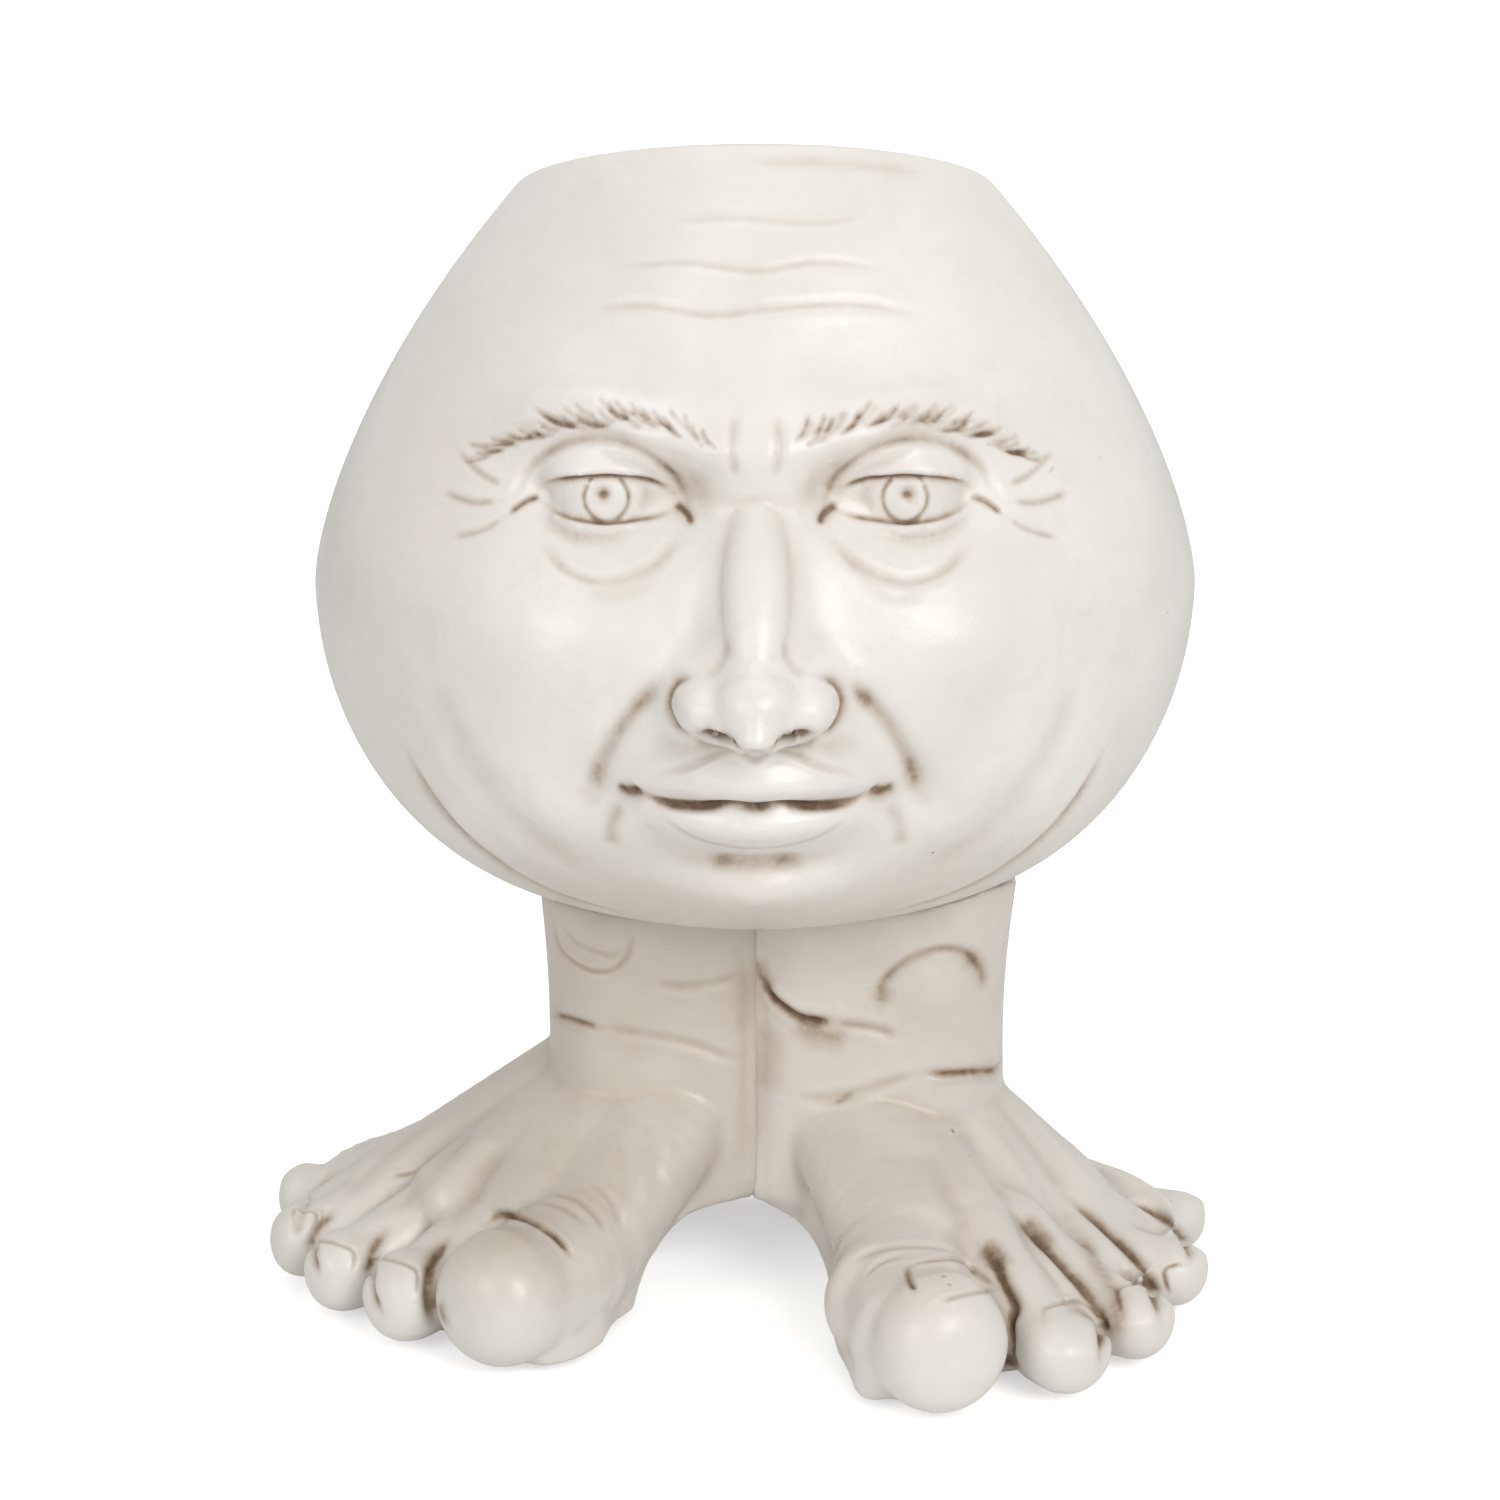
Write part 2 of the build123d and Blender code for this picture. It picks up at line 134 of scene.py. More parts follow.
def add_camera():
    """Camera at the photograph's place, level from side to side."""
    bpy.ops.object.camera_add(
        location=(seam_x - camera_aside, -camera_distance, camera_height),
        rotation=(math.pi / 2 - camera_pitch, 0, 0),
    )
    camera = bpy.context.object
    camera.name = "camera"
    camera.data.lens = camera_lens
    bpy.context.scene.camera = camera
    bpy.context.view_layer.update()
    return camera


def photo_ray(pixel):
    """Direction in which the camera sees a point of the 1500-pixel photograph."""
    half = camera.data.sensor_width / 2
    across = (2 * pixel[0] / photo_side - 1) * half
    up = (1 - 2 * pixel[1] / photo_side) * half
    return (camera.matrix_world.to_3x3() @ Vector((across, up, -camera.data.lens))).normalized()


def only(piece):
    """Makes a piece the only one selected, and the active one."""
    bpy.ops.object.select_all(action="DESELECT")
    piece.select_set(True)
    bpy.context.view_layer.objects.active = piece


def clay_copy(node, name):
    """Copy of a solid as one closed skin, ready to be sculpted."""
    only(frame["nodes"][node])
    bpy.ops.object.duplicate()
    piece = bpy.context.object
    bpy.ops.object.parent_clear(type="CLEAR_KEEP_TRANSFORM")
    piece.name = name
    piece.data.name = name
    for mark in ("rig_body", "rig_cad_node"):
        del piece[mark]
    bpy.ops.object.mode_set(mode="EDIT")
    bpy.ops.mesh.select_all(action="SELECT")
    bpy.ops.mesh.remove_doubles(threshold=0.001 * mm)
    bpy.ops.object.mode_set(mode="OBJECT")
    return piece


def clay_ball(centre, half_sizes, tilt=0, turn=0):
    """Stretched ball of clay, tilted back and turned about the upright. Sizes in millimetres."""
    bpy.ops.object.select_all(action="DESELECT")
    bpy.ops.mesh.primitive_ico_sphere_add(subdivisions=4, radius=1)
    ball = bpy.context.object
    place = Matrix.Translation(Vector(centre) * mm + Vector((seam_x, 0, 0)))
    turned = Matrix.Rotation(math.radians(turn), 4, "Z")
    tilted = Matrix.Rotation(math.radians(tilt), 4, "X")
    stretched = Matrix.Diagonal((*[size * mm for size in half_sizes], 1))
    ball.data.transform(place @ (turned @ tilted) @ stretched)
    return ball


def clay_roll(start, end, start_size, end_size):
    """Roll of clay from one place to another. Its sizes are half its width and half its height."""
    start, end = Vector(start), Vector(end)
    run = end - start
    turn = math.degrees(math.atan2(-run.x, run.y))
    last = max(2, round(run.length / roll_step))
    balls = []
    for number in range(last + 1):
        share = number / last
        width, height = (
            first + (second - first) * share for first, second in zip(start_size, end_size)
        )
        half_sizes = (width, min(width, longest_half), height)
        balls.append(clay_ball(start + run * share, half_sizes, 0, turn))
    return balls


def both_sides(centre, half_sizes, tilt=0):
    """The same ball of clay on the left and on the right of the face."""
    across, along, height = centre
    return [clay_ball((side * across, along, height), half_sizes, tilt) for side in (-1, 1)]


def press_together(piece, balls):
    """Joins clay to a piece."""
    only(piece)
    for ball in balls:
        ball.select_set(True)
    bpy.ops.object.join()


def apply_modifier(piece, kind, **settings):
    """Adds a modifier with these settings and applies it."""
    only(piece)
    modifier = piece.modifiers.new(kind.lower(), kind)
    for setting, value in settings.items():
        setattr(modifier, setting, value)
    bpy.ops.object.modifier_apply(modifier=modifier.name)


def fuse(piece, rounds):
    """Fuses overlapping clay into one skin and softens it."""
    apply_modifier(piece, "REMESH", mode="VOXEL", voxel_size=skin_grain, adaptivity=0)
    apply_modifier(piece, "SMOOTH", factor=0.5, iterations=rounds)


def skin_points(piece):
    """Places and normals of a piece's points."""
    count = len(piece.data.vertices)
    points, normals = np.empty(count * 3), np.empty(count * 3)
    piece.data.vertices.foreach_get("co", points)
    piece.data.vertices.foreach_get("normal", normals)
    return points.reshape(-1, 3), normals.reshape(-1, 3)


def move_skin(piece, points):
    """Puts a piece's points in new places."""
    piece.data.vertices.foreach_set("co", points.ravel())
    piece.data.update()


def skin_edges(piece):
    """The two points of each edge of a piece."""
    ends = np.empty(len(piece.data.edges) * 2, dtype=np.int64)
    piece.data.edges.foreach_get("vertices", ends)
    return ends.reshape(-1, 2)


def neighbour_average(values, edges, count):
    """Average of each point's neighbours."""
    first, second = edges[:, 0], edges[:, 1]
    degree = np.bincount(first, minlength=count) + np.bincount(second, minlength=count)
    columns = []
    for column in np.atleast_2d(values.T):
        total = np.bincount(first, weights=column[second], minlength=count)
        total += np.bincount(second, weights=column[first], minlength=count)
        columns.append(total / np.maximum(degree, 1))
    return np.array(columns).T if values.ndim > 1 else columns[0]


def curve_through(points, step):
    """Smooth curve through a few given points, sampled at even steps."""
    points = np.array(points, dtype=float)
    if len(points) < 2:
        return points
    before = 2 * points[0] - points[1]
    after = 2 * points[-1] - points[-2]
    knots = np.vstack([before, points, after])
    samples = []
    for index in range(1, len(knots) - 2):
        start, left, right, end = knots[index - 1], knots[index], knots[index + 1], knots[index + 2]
        count = max(int(np.linalg.norm(right - left) / step), 1)
        for share in np.arange(count) / count:
            samples.append(
                left
                + (right - start) * share / 2
                + (2 * start - 5 * left + 4 * right - end) * share**2 / 2
                + (3 * left - start - 3 * right + end) * share**3 / 2
            )
    samples.append(points[-1])
    return np.array(samples)


def stroke(points, width, depth, wash=0.0, spread=2.0, lip=0.0, step=0.0):
    """One stroke of the tool, sizes in millimetres. A depth below zero raises the skin.

    wash is how much brown wash stays in it and spread how far that reaches, in widths. lip raises
    a soft rim on both sides, and step lowers the side on the stroke's right.
    """
    return {
        "points": points,
        "width": width * mm,
        "depth": depth * mm,
        "wash": wash,
        "spread": spread,
        "lip": lip * mm,
        "step": step * mm,
    }


def meet_skin(tree, rays):
    """Where rays, each a start and a direction, meet the skin, and how it faces there."""
    hits = [tree.ray_cast(start, direction) for start, direction in rays]
    path = [place for place, _, _, _ in hits if place]
    facing = [normal for place, normal, _, _ in hits if place]
    return np.array(path), np.array(facing)


def lay_on_face(tree, points):
    """Puts points given as (across, height) in millimetres onto the front of the head."""
    return meet_skin(tree, [
        (Vector((seam_x + across * mm, -1, height * mm)), Vector((0, 1, 0)))
        for across, height in curve_through(points, sample_step / mm)
    ])


def lay_on_foot(tree, pixels):
    """Puts points given as pixels of the photograph onto a foot."""
    eye = camera.location + Vector((camera_aside, 0, 0))
    return meet_skin(tree, [(eye, photo_ray(pixel)) for pixel in curve_through(pixels, pixel_step)])


def lay_strokes(piece, strokes, lay):
    """Lays strokes on a piece and keeps those that meet it."""
    tree = BVHTree.FromObject(piece, bpy.context.evaluated_depsgraph_get())
    laid = []
    for mark in strokes:
        path, facing = lay(tree, mark["points"])
        if len(path):
            laid.append({**mark, "path": path, "facing": facing})
    return laid


def near_stroke(points, normals, mark, reach):
    """Points near a stroke: which, how far, how far to its right, how far along it from 0 to 1."""
    path, facing = mark["path"], mark["facing"]
    low, high = path.min(0) - reach, path.max(0) + reach
    near = np.flatnonzero(((points > low) & (points < high)).all(1))
    if not len(near):
        return None
    here = points[near]
    squares = (here**2).sum(1)[:, None] + (path**2).sum(1)[None, :] - 2 * here @ path.T
    nearest = squares.argmin(1)
    offset = here - path[nearest]
    tangents = np.gradient(path, axis=0) if len(path) > 1 else np.zeros_like(path)
    tangents /= np.maximum(np.linalg.norm(tangents, axis=1, keepdims=True), 1e-9)
    along = (offset * tangents[nearest]).sum(1, keepdims=True)
    inner = (nearest > 0) & (nearest < len(path) - 1)
    sideways = offset - np.where(inner[:, None], along, 0) * tangents[nearest]
    distance = np.linalg.norm(sideways, axis=1)
    right = (offset * np.cross(tangents[nearest], facing[nearest])).sum(1)
    share = nearest / max(len(path) - 1, 1)
    keep = (distance < reach) & ((normals[near] * facing[nearest]).sum(1) > turned_our_way)
    return near[keep], distance[keep], right[keep], share[keep]


def refine(piece, strokes):
    """Divides the skin's faces once more along narrow strokes."""
    points, normals = skin_points(piece)
    chosen = np.zeros(len(points), dtype=bool)
    for mark in strokes:
        if mark["width"] <= narrow_stroke:
            found = near_stroke(points, normals, mark, mark["width"] + refined_margin)
            if found:
                chosen[found[0]] = True
    only(piece)
    bpy.ops.object.mode_set(mode="EDIT")
    bpy.ops.mesh.select_mode(type="VERT")
    bpy.ops.mesh.select_all(action="DESELECT")
    bpy.ops.object.mode_set(mode="OBJECT")
    piece.data.vertices.foreach_set("select", chosen)
    bpy.ops.object.mode_set(mode="EDIT")
    bpy.ops.mesh.select_mode(type="FACE", use_extend=False, use_expand=False)
    bpy.ops.mesh.subdivide(number_cuts=1, smoothness=0)
    bpy.ops.object.mode_set(mode="OBJECT")


def work(piece, strokes, hollow_wash):
    """Presses strokes into a skin and stores where the wash gathers."""
    points, normals = skin_points(piece)
    edges = skin_edges(piece)
    count = len(points)
    move, stain = np.zeros(count), np.zeros(count)
    for mark in strokes:
        width = mark["width"]
        reach = width * max(least_reach, wash_reach * mark["spread"])
        found = near_stroke(points, normals, mark, reach)
        if not found:
            continue
        near, distance, right, share = found
        fade = np.ones(len(near))
        if len(mark["path"]) > 1:
            ends = np.clip(np.minimum(share, 1 - share) / fading_share, 0, 1)
            fade = end_strength + (1 - end_strength) * ends * ends * (3 - 2 * ends)
        profile = np.exp(-((distance / width) ** 2))
        move[near] -= mark["depth"] * fade * profile
        if mark["lip"]:
            from_lip = (distance - lip_place * width) / width
            move[near] += mark["lip"] * fade * np.exp(-(from_lip**2))
        if mark["step"]:
            side = np.tanh(np.clip(right / width, -4, 4))
            falloff = np.exp(-((distance / (step_width * width)) ** 2))
            move[near] -= mark["step"] * fade * side * falloff
        if mark["wash"]:
            core = np.exp(-((distance / (core_share * width)) ** 2))
            halo = halo_share * np.exp(-((distance / (mark["spread"] * width)) ** 2))
            spot = halo + (1 - halo_share) * core if mark["depth"] else halo / halo_share
            gathered = mark["wash"] * fade * spot
            stain[near] = 1 - (1 - stain[near]) * (1 - np.clip(gathered, 0, 1))
    points = points + normals * move[:, None]
    relaxed = points
    for _ in range(hollow_rounds):
        relaxed = neighbour_average(relaxed, edges, count)
    hollow = np.clip(((relaxed - points) * normals).sum(1) / full_hollow, 0, 1)
    stain = 1 - (1 - stain) * (1 - hollow_wash * hollow**hollow_curve)
    stain = (stain + neighbour_average(stain, edges, count)) / 2
    wash = piece.data.attributes.new("wash", "FLOAT", "POINT")
    wash.data.foreach_set("value", np.clip(stain, 0, 1))
    move_skin(piece, points)
    return stain


def lighten(piece, strokes, stain):
    """Thins out the triangles away from the strokes until the piece is under its limit."""
    points, normals = skin_points(piece)
    detail = np.clip(stain / held_wash, 0, 1)
    for mark in strokes:
        found = near_stroke(points, normals, mark, held_widths * mark["width"])
        if found:
            detail[found[0]] = 1
    group = piece.vertex_groups.new(name="free")
    for level in range(held_steps + 1):
        chosen = np.flatnonzero(np.round((1 - detail) * held_steps) == level)
        if len(chosen):
            freedom = bound_share + (1 - bound_share) * level / held_steps
            group.add(chosen.tolist(), freedom, "REPLACE")
    triangles = sum(len(face.vertices) - 2 for face in piece.data.polygons)
    if triangles > most_triangles:
        for _ in range(thinning_rounds):
            apply_modifier(
                piece,
                "DECIMATE",
                ratio=(most_triangles / triangles) ** (1 / thinning_rounds),
                vertex_group="free",
                vertex_group_factor=free_factor,
            )
    piece.vertex_groups.clear()
    only(piece)
    bpy.ops.object.shade_smooth()


def dress(piece, node, material):
    """Hands a sculpted piece over to the planter's body in place of its solid."""
    piece.data.materials.clear()
    piece.data.materials.append(material)
    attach(piece, "planter")
    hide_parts(node)


# Face: calm, on the rule of three equal parts in height and five eyes in width. Places are across
# from its middle, along from front to back, and up from the ground, in millimetres
eye_across, eye_depth, eye_middle = 35, -57.1, 222.25
lid_radius = 17.4
ring_radius, ring_height = 5.4, 223.2

# Hairs of a brow, on an arch that sinks a little outwards, and how they lean, in degrees
brow_hairs = 46
brow_start, brow_length = 9, 55
brow_height, brow_rise, brow_sink = 233.5, 8.5, 2.5
inner_lean, lean_change = 66, 84


def eye_clay():
    """Lids as half shells over the eyeballs, opened a little more above than below."""
    opening = {"upper": 23.0, "lower": -17.0}
    lids = []
    for side in (-1, 1):
        eye = (side * eye_across, eye_depth, eye_middle)
        for name, angle in opening.items():
            lid = clay_ball(eye, (lid_radius, lid_radius, lid_radius))
            only(lid)
            bpy.ops.object.mode_set(mode="EDIT")
            bpy.ops.mesh.select_all(action="SELECT")
            lean = math.radians(angle)
            above = name == "upper"
            bpy.ops.mesh.bisect(
                plane_co=Vector(eye) * mm + Vector((seam_x, 0, 0)),
                plane_no=(0, math.sin(lean), math.cos(lean)),
                use_fill=True,
                clear_inner=above,
                clear_outer=not above,
            )
            bpy.ops.object.mode_set(mode="OBJECT")
            lids.append(lid)
    return lids


def face_clay():
    """Clay of the nose, the eyes and the chin."""
    clay = eye_clay()
    clay.append(clay_ball((0, -88.3, 205), (7.5, 6, 26), -38))
    clay.append(clay_ball((0, -104.5, 181.5), (9.5, 9.5, 8.5)))
    clay += both_sides((12.2, -97.5, 179.8), (6.3, 9.5, 6.3))
    clay.append(clay_ball((0, -104.5, 174.5), (3.2, 8, 4)))
    return clay


def mirrored(marks):
    """Each stroke on both sides of the face."""
    return marks + [
        {**mark, "points": [(-across, height) for across, height in mark["points"]]}
        for mark in marks
    ]


def lid_line(angle, radius):
    """Edge of a lid, a slice of the ball round the eye."""
    rise = radius * math.sin(math.radians(angle))
    return [
        (eye_across + radius * math.sin(turn), eye_middle + rise * math.cos(turn))
        for turn in np.radians((-74, -58, -40, -20, 0, 20, 40, 58, 74))
    ]


def brow_strokes():
    """Raised brow with combed hairs, the same on both sides but for small chances."""
    marks = mirrored([
        stroke([(9, 234), (22, 239.5), (36, 243), (50, 242), (64, 235)], 4.6, -1.5),
        stroke([(10, 231.5), (24, 236), (38, 239), (52, 238), (64, 232)], 1.6, 0.35, 0.16, 1.8),
    ])
    chance = random.Random(7)
    for side in (-1, 1):
        for number in range(brow_hairs):
            share = number / (brow_hairs - 1)
            across = brow_start + brow_length * share
            arch = math.sin(math.pi * min(share * 0.9 + 0.12, 1))
            height = brow_height + brow_rise * arch - brow_sink * share + chance.uniform(-1.6, 1.2)
            lean = math.radians(inner_lean - lean_change * share + chance.uniform(-9, 9))
            length = chance.uniform(5.5, 8.5)
            tip = (across + length * math.cos(lean), height + 0.75 * length * math.sin(lean))
            middle = ((across + tip[0]) / 2 + 0.5, (height + tip[1]) / 2 - 0.5)
            points = [(side * place[0], place[1]) for place in ((across, height), middle, tip)]
            marks.append(stroke(points, 0.6, 0.42, chance.uniform(0.1, 0.42), 1.5))
    return marks


def eye_strokes():
    """Lid edges, lid creases, the ring and the pupil of the iris, and the corners of the eyes."""
    ring = [
        (eye_across + ring_radius * math.cos(turn), ring_height + ring_radius * math.sin(turn))
        for turn in np.radians(range(38, 503, 30))
    ]
    return mirrored([
        stroke(lid_line(22, 16.6), 0.8, 0.5, 0.8, 1.4),
        stroke(lid_line(-16, 16.4), 0.75, 0.45, 0.62, 1.4),
        stroke(ring, 0.6, 0.45, 0.55, 1.3),
        stroke([(35.6, 224.2)], 1.7, 1.5, 0.85, 1.1),
        stroke([(15.5, 220), (19, 228), (26, 234.4), (35, 237),
                (44, 235.6), (52, 230), (57, 222.5)], 1.3, 0.8, 0.34, 1.7, 0.2),
        stroke([(17, 216.5), (24, 209), (34, 205.4), (44, 207), (52.5, 213.5)],
               1.6, 0.65, 0.2, 1.7, 0.2),
        stroke([(22, 207), (31, 202.5), (41, 202.8)], 1.5, 0.35, 0.12, 1.6, 0.12),
        stroke([(19.4, 222), (16.6, 220.4), (14.6, 217.6)], 0.9, 0.7, 0.75, 2.0),
        stroke([(50.6, 222), (54.5, 220.6), (59, 217.4)], 0.8, 0.55, 0.6, 1.8),
        stroke([(16, 226)], 5.5, 0.3, 0.28, 1.2),
        stroke([(18, 233.5), (21, 229)], 3.0, 0.1, 0.2, 1.5),
    ])


def nose_and_mouth_strokes():
    """Wings and openings of the nose, the lips, and the soft folds beside them."""
    marks = mirrored([
        stroke([(13.8, 187.2), (18.6, 184.6), (20.4, 179.2), (18, 173.6), (14, 171.8)],
               1.4, 1.0, 0.5, 1.8, 0.15),
        stroke([(3.6, 173.4), (6.8, 175.4), (10.4, 175.2), (12.6, 172.8)], 1.5, 2.0, 0.95, 1.5),
        stroke([(5, 170.6), (10, 169.8), (15, 171)], 2.6, 0.3, 0.45, 1.6),
        stroke([(20.5, 185), (26.5, 178.5), (32.5, 170), (37, 160), (38.6, 151)],
               2.6, 1.3, 0.12, 1.3, 0.4),
        stroke([(3.4, 167), (3.9, 171.5)], 1.2, -0.5),
        stroke([(26.8, 155.6), (30.4, 154.4), (33.2, 156)], 1.6, 1.0, 0.8, 1.9),
        stroke([(31.5, 151), (34.6, 144.5), (34.8, 137)], 2.2, 0.55, 0.2, 1.4, 0.2),
        stroke([(5.6, 196), (8.4, 190), (12.4, 187)], 1.8, 0.3, 0.12, 1.4),
    ])
    lip_line = [(-30, 155.4), (-22, 153.2), (-13, 153.4), (-6, 154.8), (0, 153.9),
                (6, 154.8), (13, 153.4), (22, 153.2), (30, 155.4)]
    upper_edge = [(-27, 157.4), (-15, 162.4), (-5.4, 166.8), (0, 164.8),
                  (5.4, 166.8), (15, 162.4), (27, 157.4)]
    lower_edge = [(-24, 150.6), (-14, 144.4), (0, 141.6), (14, 144.4), (24, 150.6)]
    marks += [
        stroke(lip_line, 1.1, 1.5, 0.85, 1.5),
        stroke(upper_edge, 0.9, -0.4),
        stroke([(across, height + 1.7) for across, height in upper_edge], 1.0, 0.35, 0.14, 1.5),
        stroke(lower_edge, 1.2, 0.45, 0.2, 1.6),
        stroke([(-13, 137.6), (0, 136.2), (13, 137.6)], 3.4, 0.9, 0.12, 1.5),
        stroke([(0, 167.5), (0, 175)], 2.2, 0.9, 0.3, 1.3),
    ]
    return marks


def brow_and_cheek_strokes():
    """Faint lines of the forehead, between the brows, beside the eyes and along the jaw."""
    marks = mirrored([
        stroke([(4.6, 229), (5.6, 236), (5.0, 244)], 1.3, 0.5, 0.2, 1.7, 0.15),
        stroke([(60, 223.5), (66, 225.5), (72, 229.5)], 0.9, 0.4, 0.28, 1.7, 0.1),
        stroke([(61, 220), (68, 219), (76, 220)], 0.9, 0.4, 0.32, 1.7, 0.1),
        stroke([(60, 216.5), (66, 213), (73, 210.5)], 0.9, 0.35, 0.25, 1.7, 0.1),
        stroke([(78, 181), (74, 166), (65, 150), (52, 136), (37, 127)], 5.5, 0.8, 0.1, 1.1, 0.3),
        stroke([(88, 158), (79, 141), (66, 127), (50, 117), (30, 111.5)],
               2.0, 0.7, 0.34, 1.6, 0.35),
        stroke([(84, 150), (72, 134), (60, 124)], 1.0, 0.3, 0.36, 3.4),
    ])
    marks += [
        stroke([(-46, 262), (-28, 265.5), (-10, 264), (4, 265.6), (24, 266), (45, 261)],
               1.5, 0.42, 0.14, 1.6, 0.2),
        stroke([(-38, 272.5), (-18, 275), (0, 273.6), (16, 275.2), (36, 272)],
               1.5, 0.38, 0.12, 1.6, 0.18),
        stroke([(-24, 283), (-6, 284.6), (14, 283.4), (30, 284.8)], 1.4, 0.28, 0.1, 1.6, 0.12),
        stroke([(-4, 296.5), (20, 296), (44, 292)], 1.6, 0.12, 0.16, 2.2),
        stroke([(-66, 285), (-58, 290), (-48, 294)], 2.2, 0.1, 0.32, 1.8),
        stroke([(52, 292), (60, 288), (67, 283)], 2.2, 0.1, 0.36, 1.8),
    ]
    return marks


# Lines of the feet and ankles, as pixels of the 1500-pixel photograph. right and left are the
# planter's own, so the right foot is on the viewer's left.
right_foot_pixels = {
    "skin fold over the big toe": [(481, 1225), (495, 1215), (524, 1220), (550, 1236), (569, 1258)],
    "wrinkle behind the big toe": [(552, 1192), (574, 1200), (592, 1216), (600, 1232)],
    "second wrinkle behind the big toe": [(534, 1200), (560, 1208), (580, 1222)],
    "gap beside the big toe": [(446, 1231), (433, 1250), (425, 1280), (427, 1312), (443, 1340)],
    "second toe gap": [(384, 1222), (370, 1250), (365, 1290), (378, 1318)],
    "third toe gap": [(331, 1206), (313, 1230), (307, 1255), (314, 1277)],
    "fourth toe gap": [(306, 1196), (296, 1214), (291, 1236)],
    "second toe nail": [(372, 1282), (372, 1259), (409, 1268), (413, 1288), (405, 1296)],
    "third toe nail": [(315, 1258), (314, 1241), (346, 1249), (350, 1264), (346, 1273)],
    "fourth toe nail": [(289, 1224), (290, 1208), (311, 1213), (312, 1226)],
    "knuckle line": [(387, 1176), (402, 1174), (417, 1167)],
    "first valley": [(446, 1231), (462, 1196), (498, 1142)],
    "second valley": [(384, 1222), (420, 1176), (474, 1122)],
    "third valley": [(331, 1206), (376, 1158), (440, 1108)],
    "fourth valley": [(306, 1196), (350, 1142), (410, 1100)],
    "first sinew": [(408, 1216), (442, 1176), (490, 1126)],
    "second sinew": [(352, 1200), (396, 1156), (456, 1108)],
    "ankle crease": [(534, 1016), (556, 1017), (582, 1025), (594, 1029)],
    "ankle crease towards the seam": [
        (596, 1029), (620, 1032), (684, 1044), (722, 1057), (742, 1056),
    ],
    "ankle bone": [(588, 936)],
    "crease under the ankle bone": [
        (549, 916), (556, 950), (582, 970), (607, 971), (624, 955), (629, 928),
    ],
    "inner crease of the ankle bone": [(556, 923), (575, 942), (607, 955), (620, 944)],
    "ankle fold": [(645, 983), (670, 987), (696, 986), (738, 978)],
    "seam": [(743, 950), (745, 1000), (744, 1060), (743, 1120), (742, 1180)],
    "stain beside the seam": [(735, 960), (738, 1000), (736, 1040)],
    # The stroke along the underside of the arch paints shade in wash colour: a dark line where the
    # arch lies in shadow
    "painted shade along the arch edge": [(690, 1216), (716, 1206), (740, 1199)],
    "stain between the toes": [(434, 1300), (440, 1326)],
    "wrinkle of the instep": [(604, 1120), (618, 1160), (622, 1204)],
    "second wrinkle of the instep": [(634, 1110), (650, 1156), (652, 1196)],
    "tiny wrinkle by the toe": [(586, 1180), (606, 1200), (616, 1226)],
}
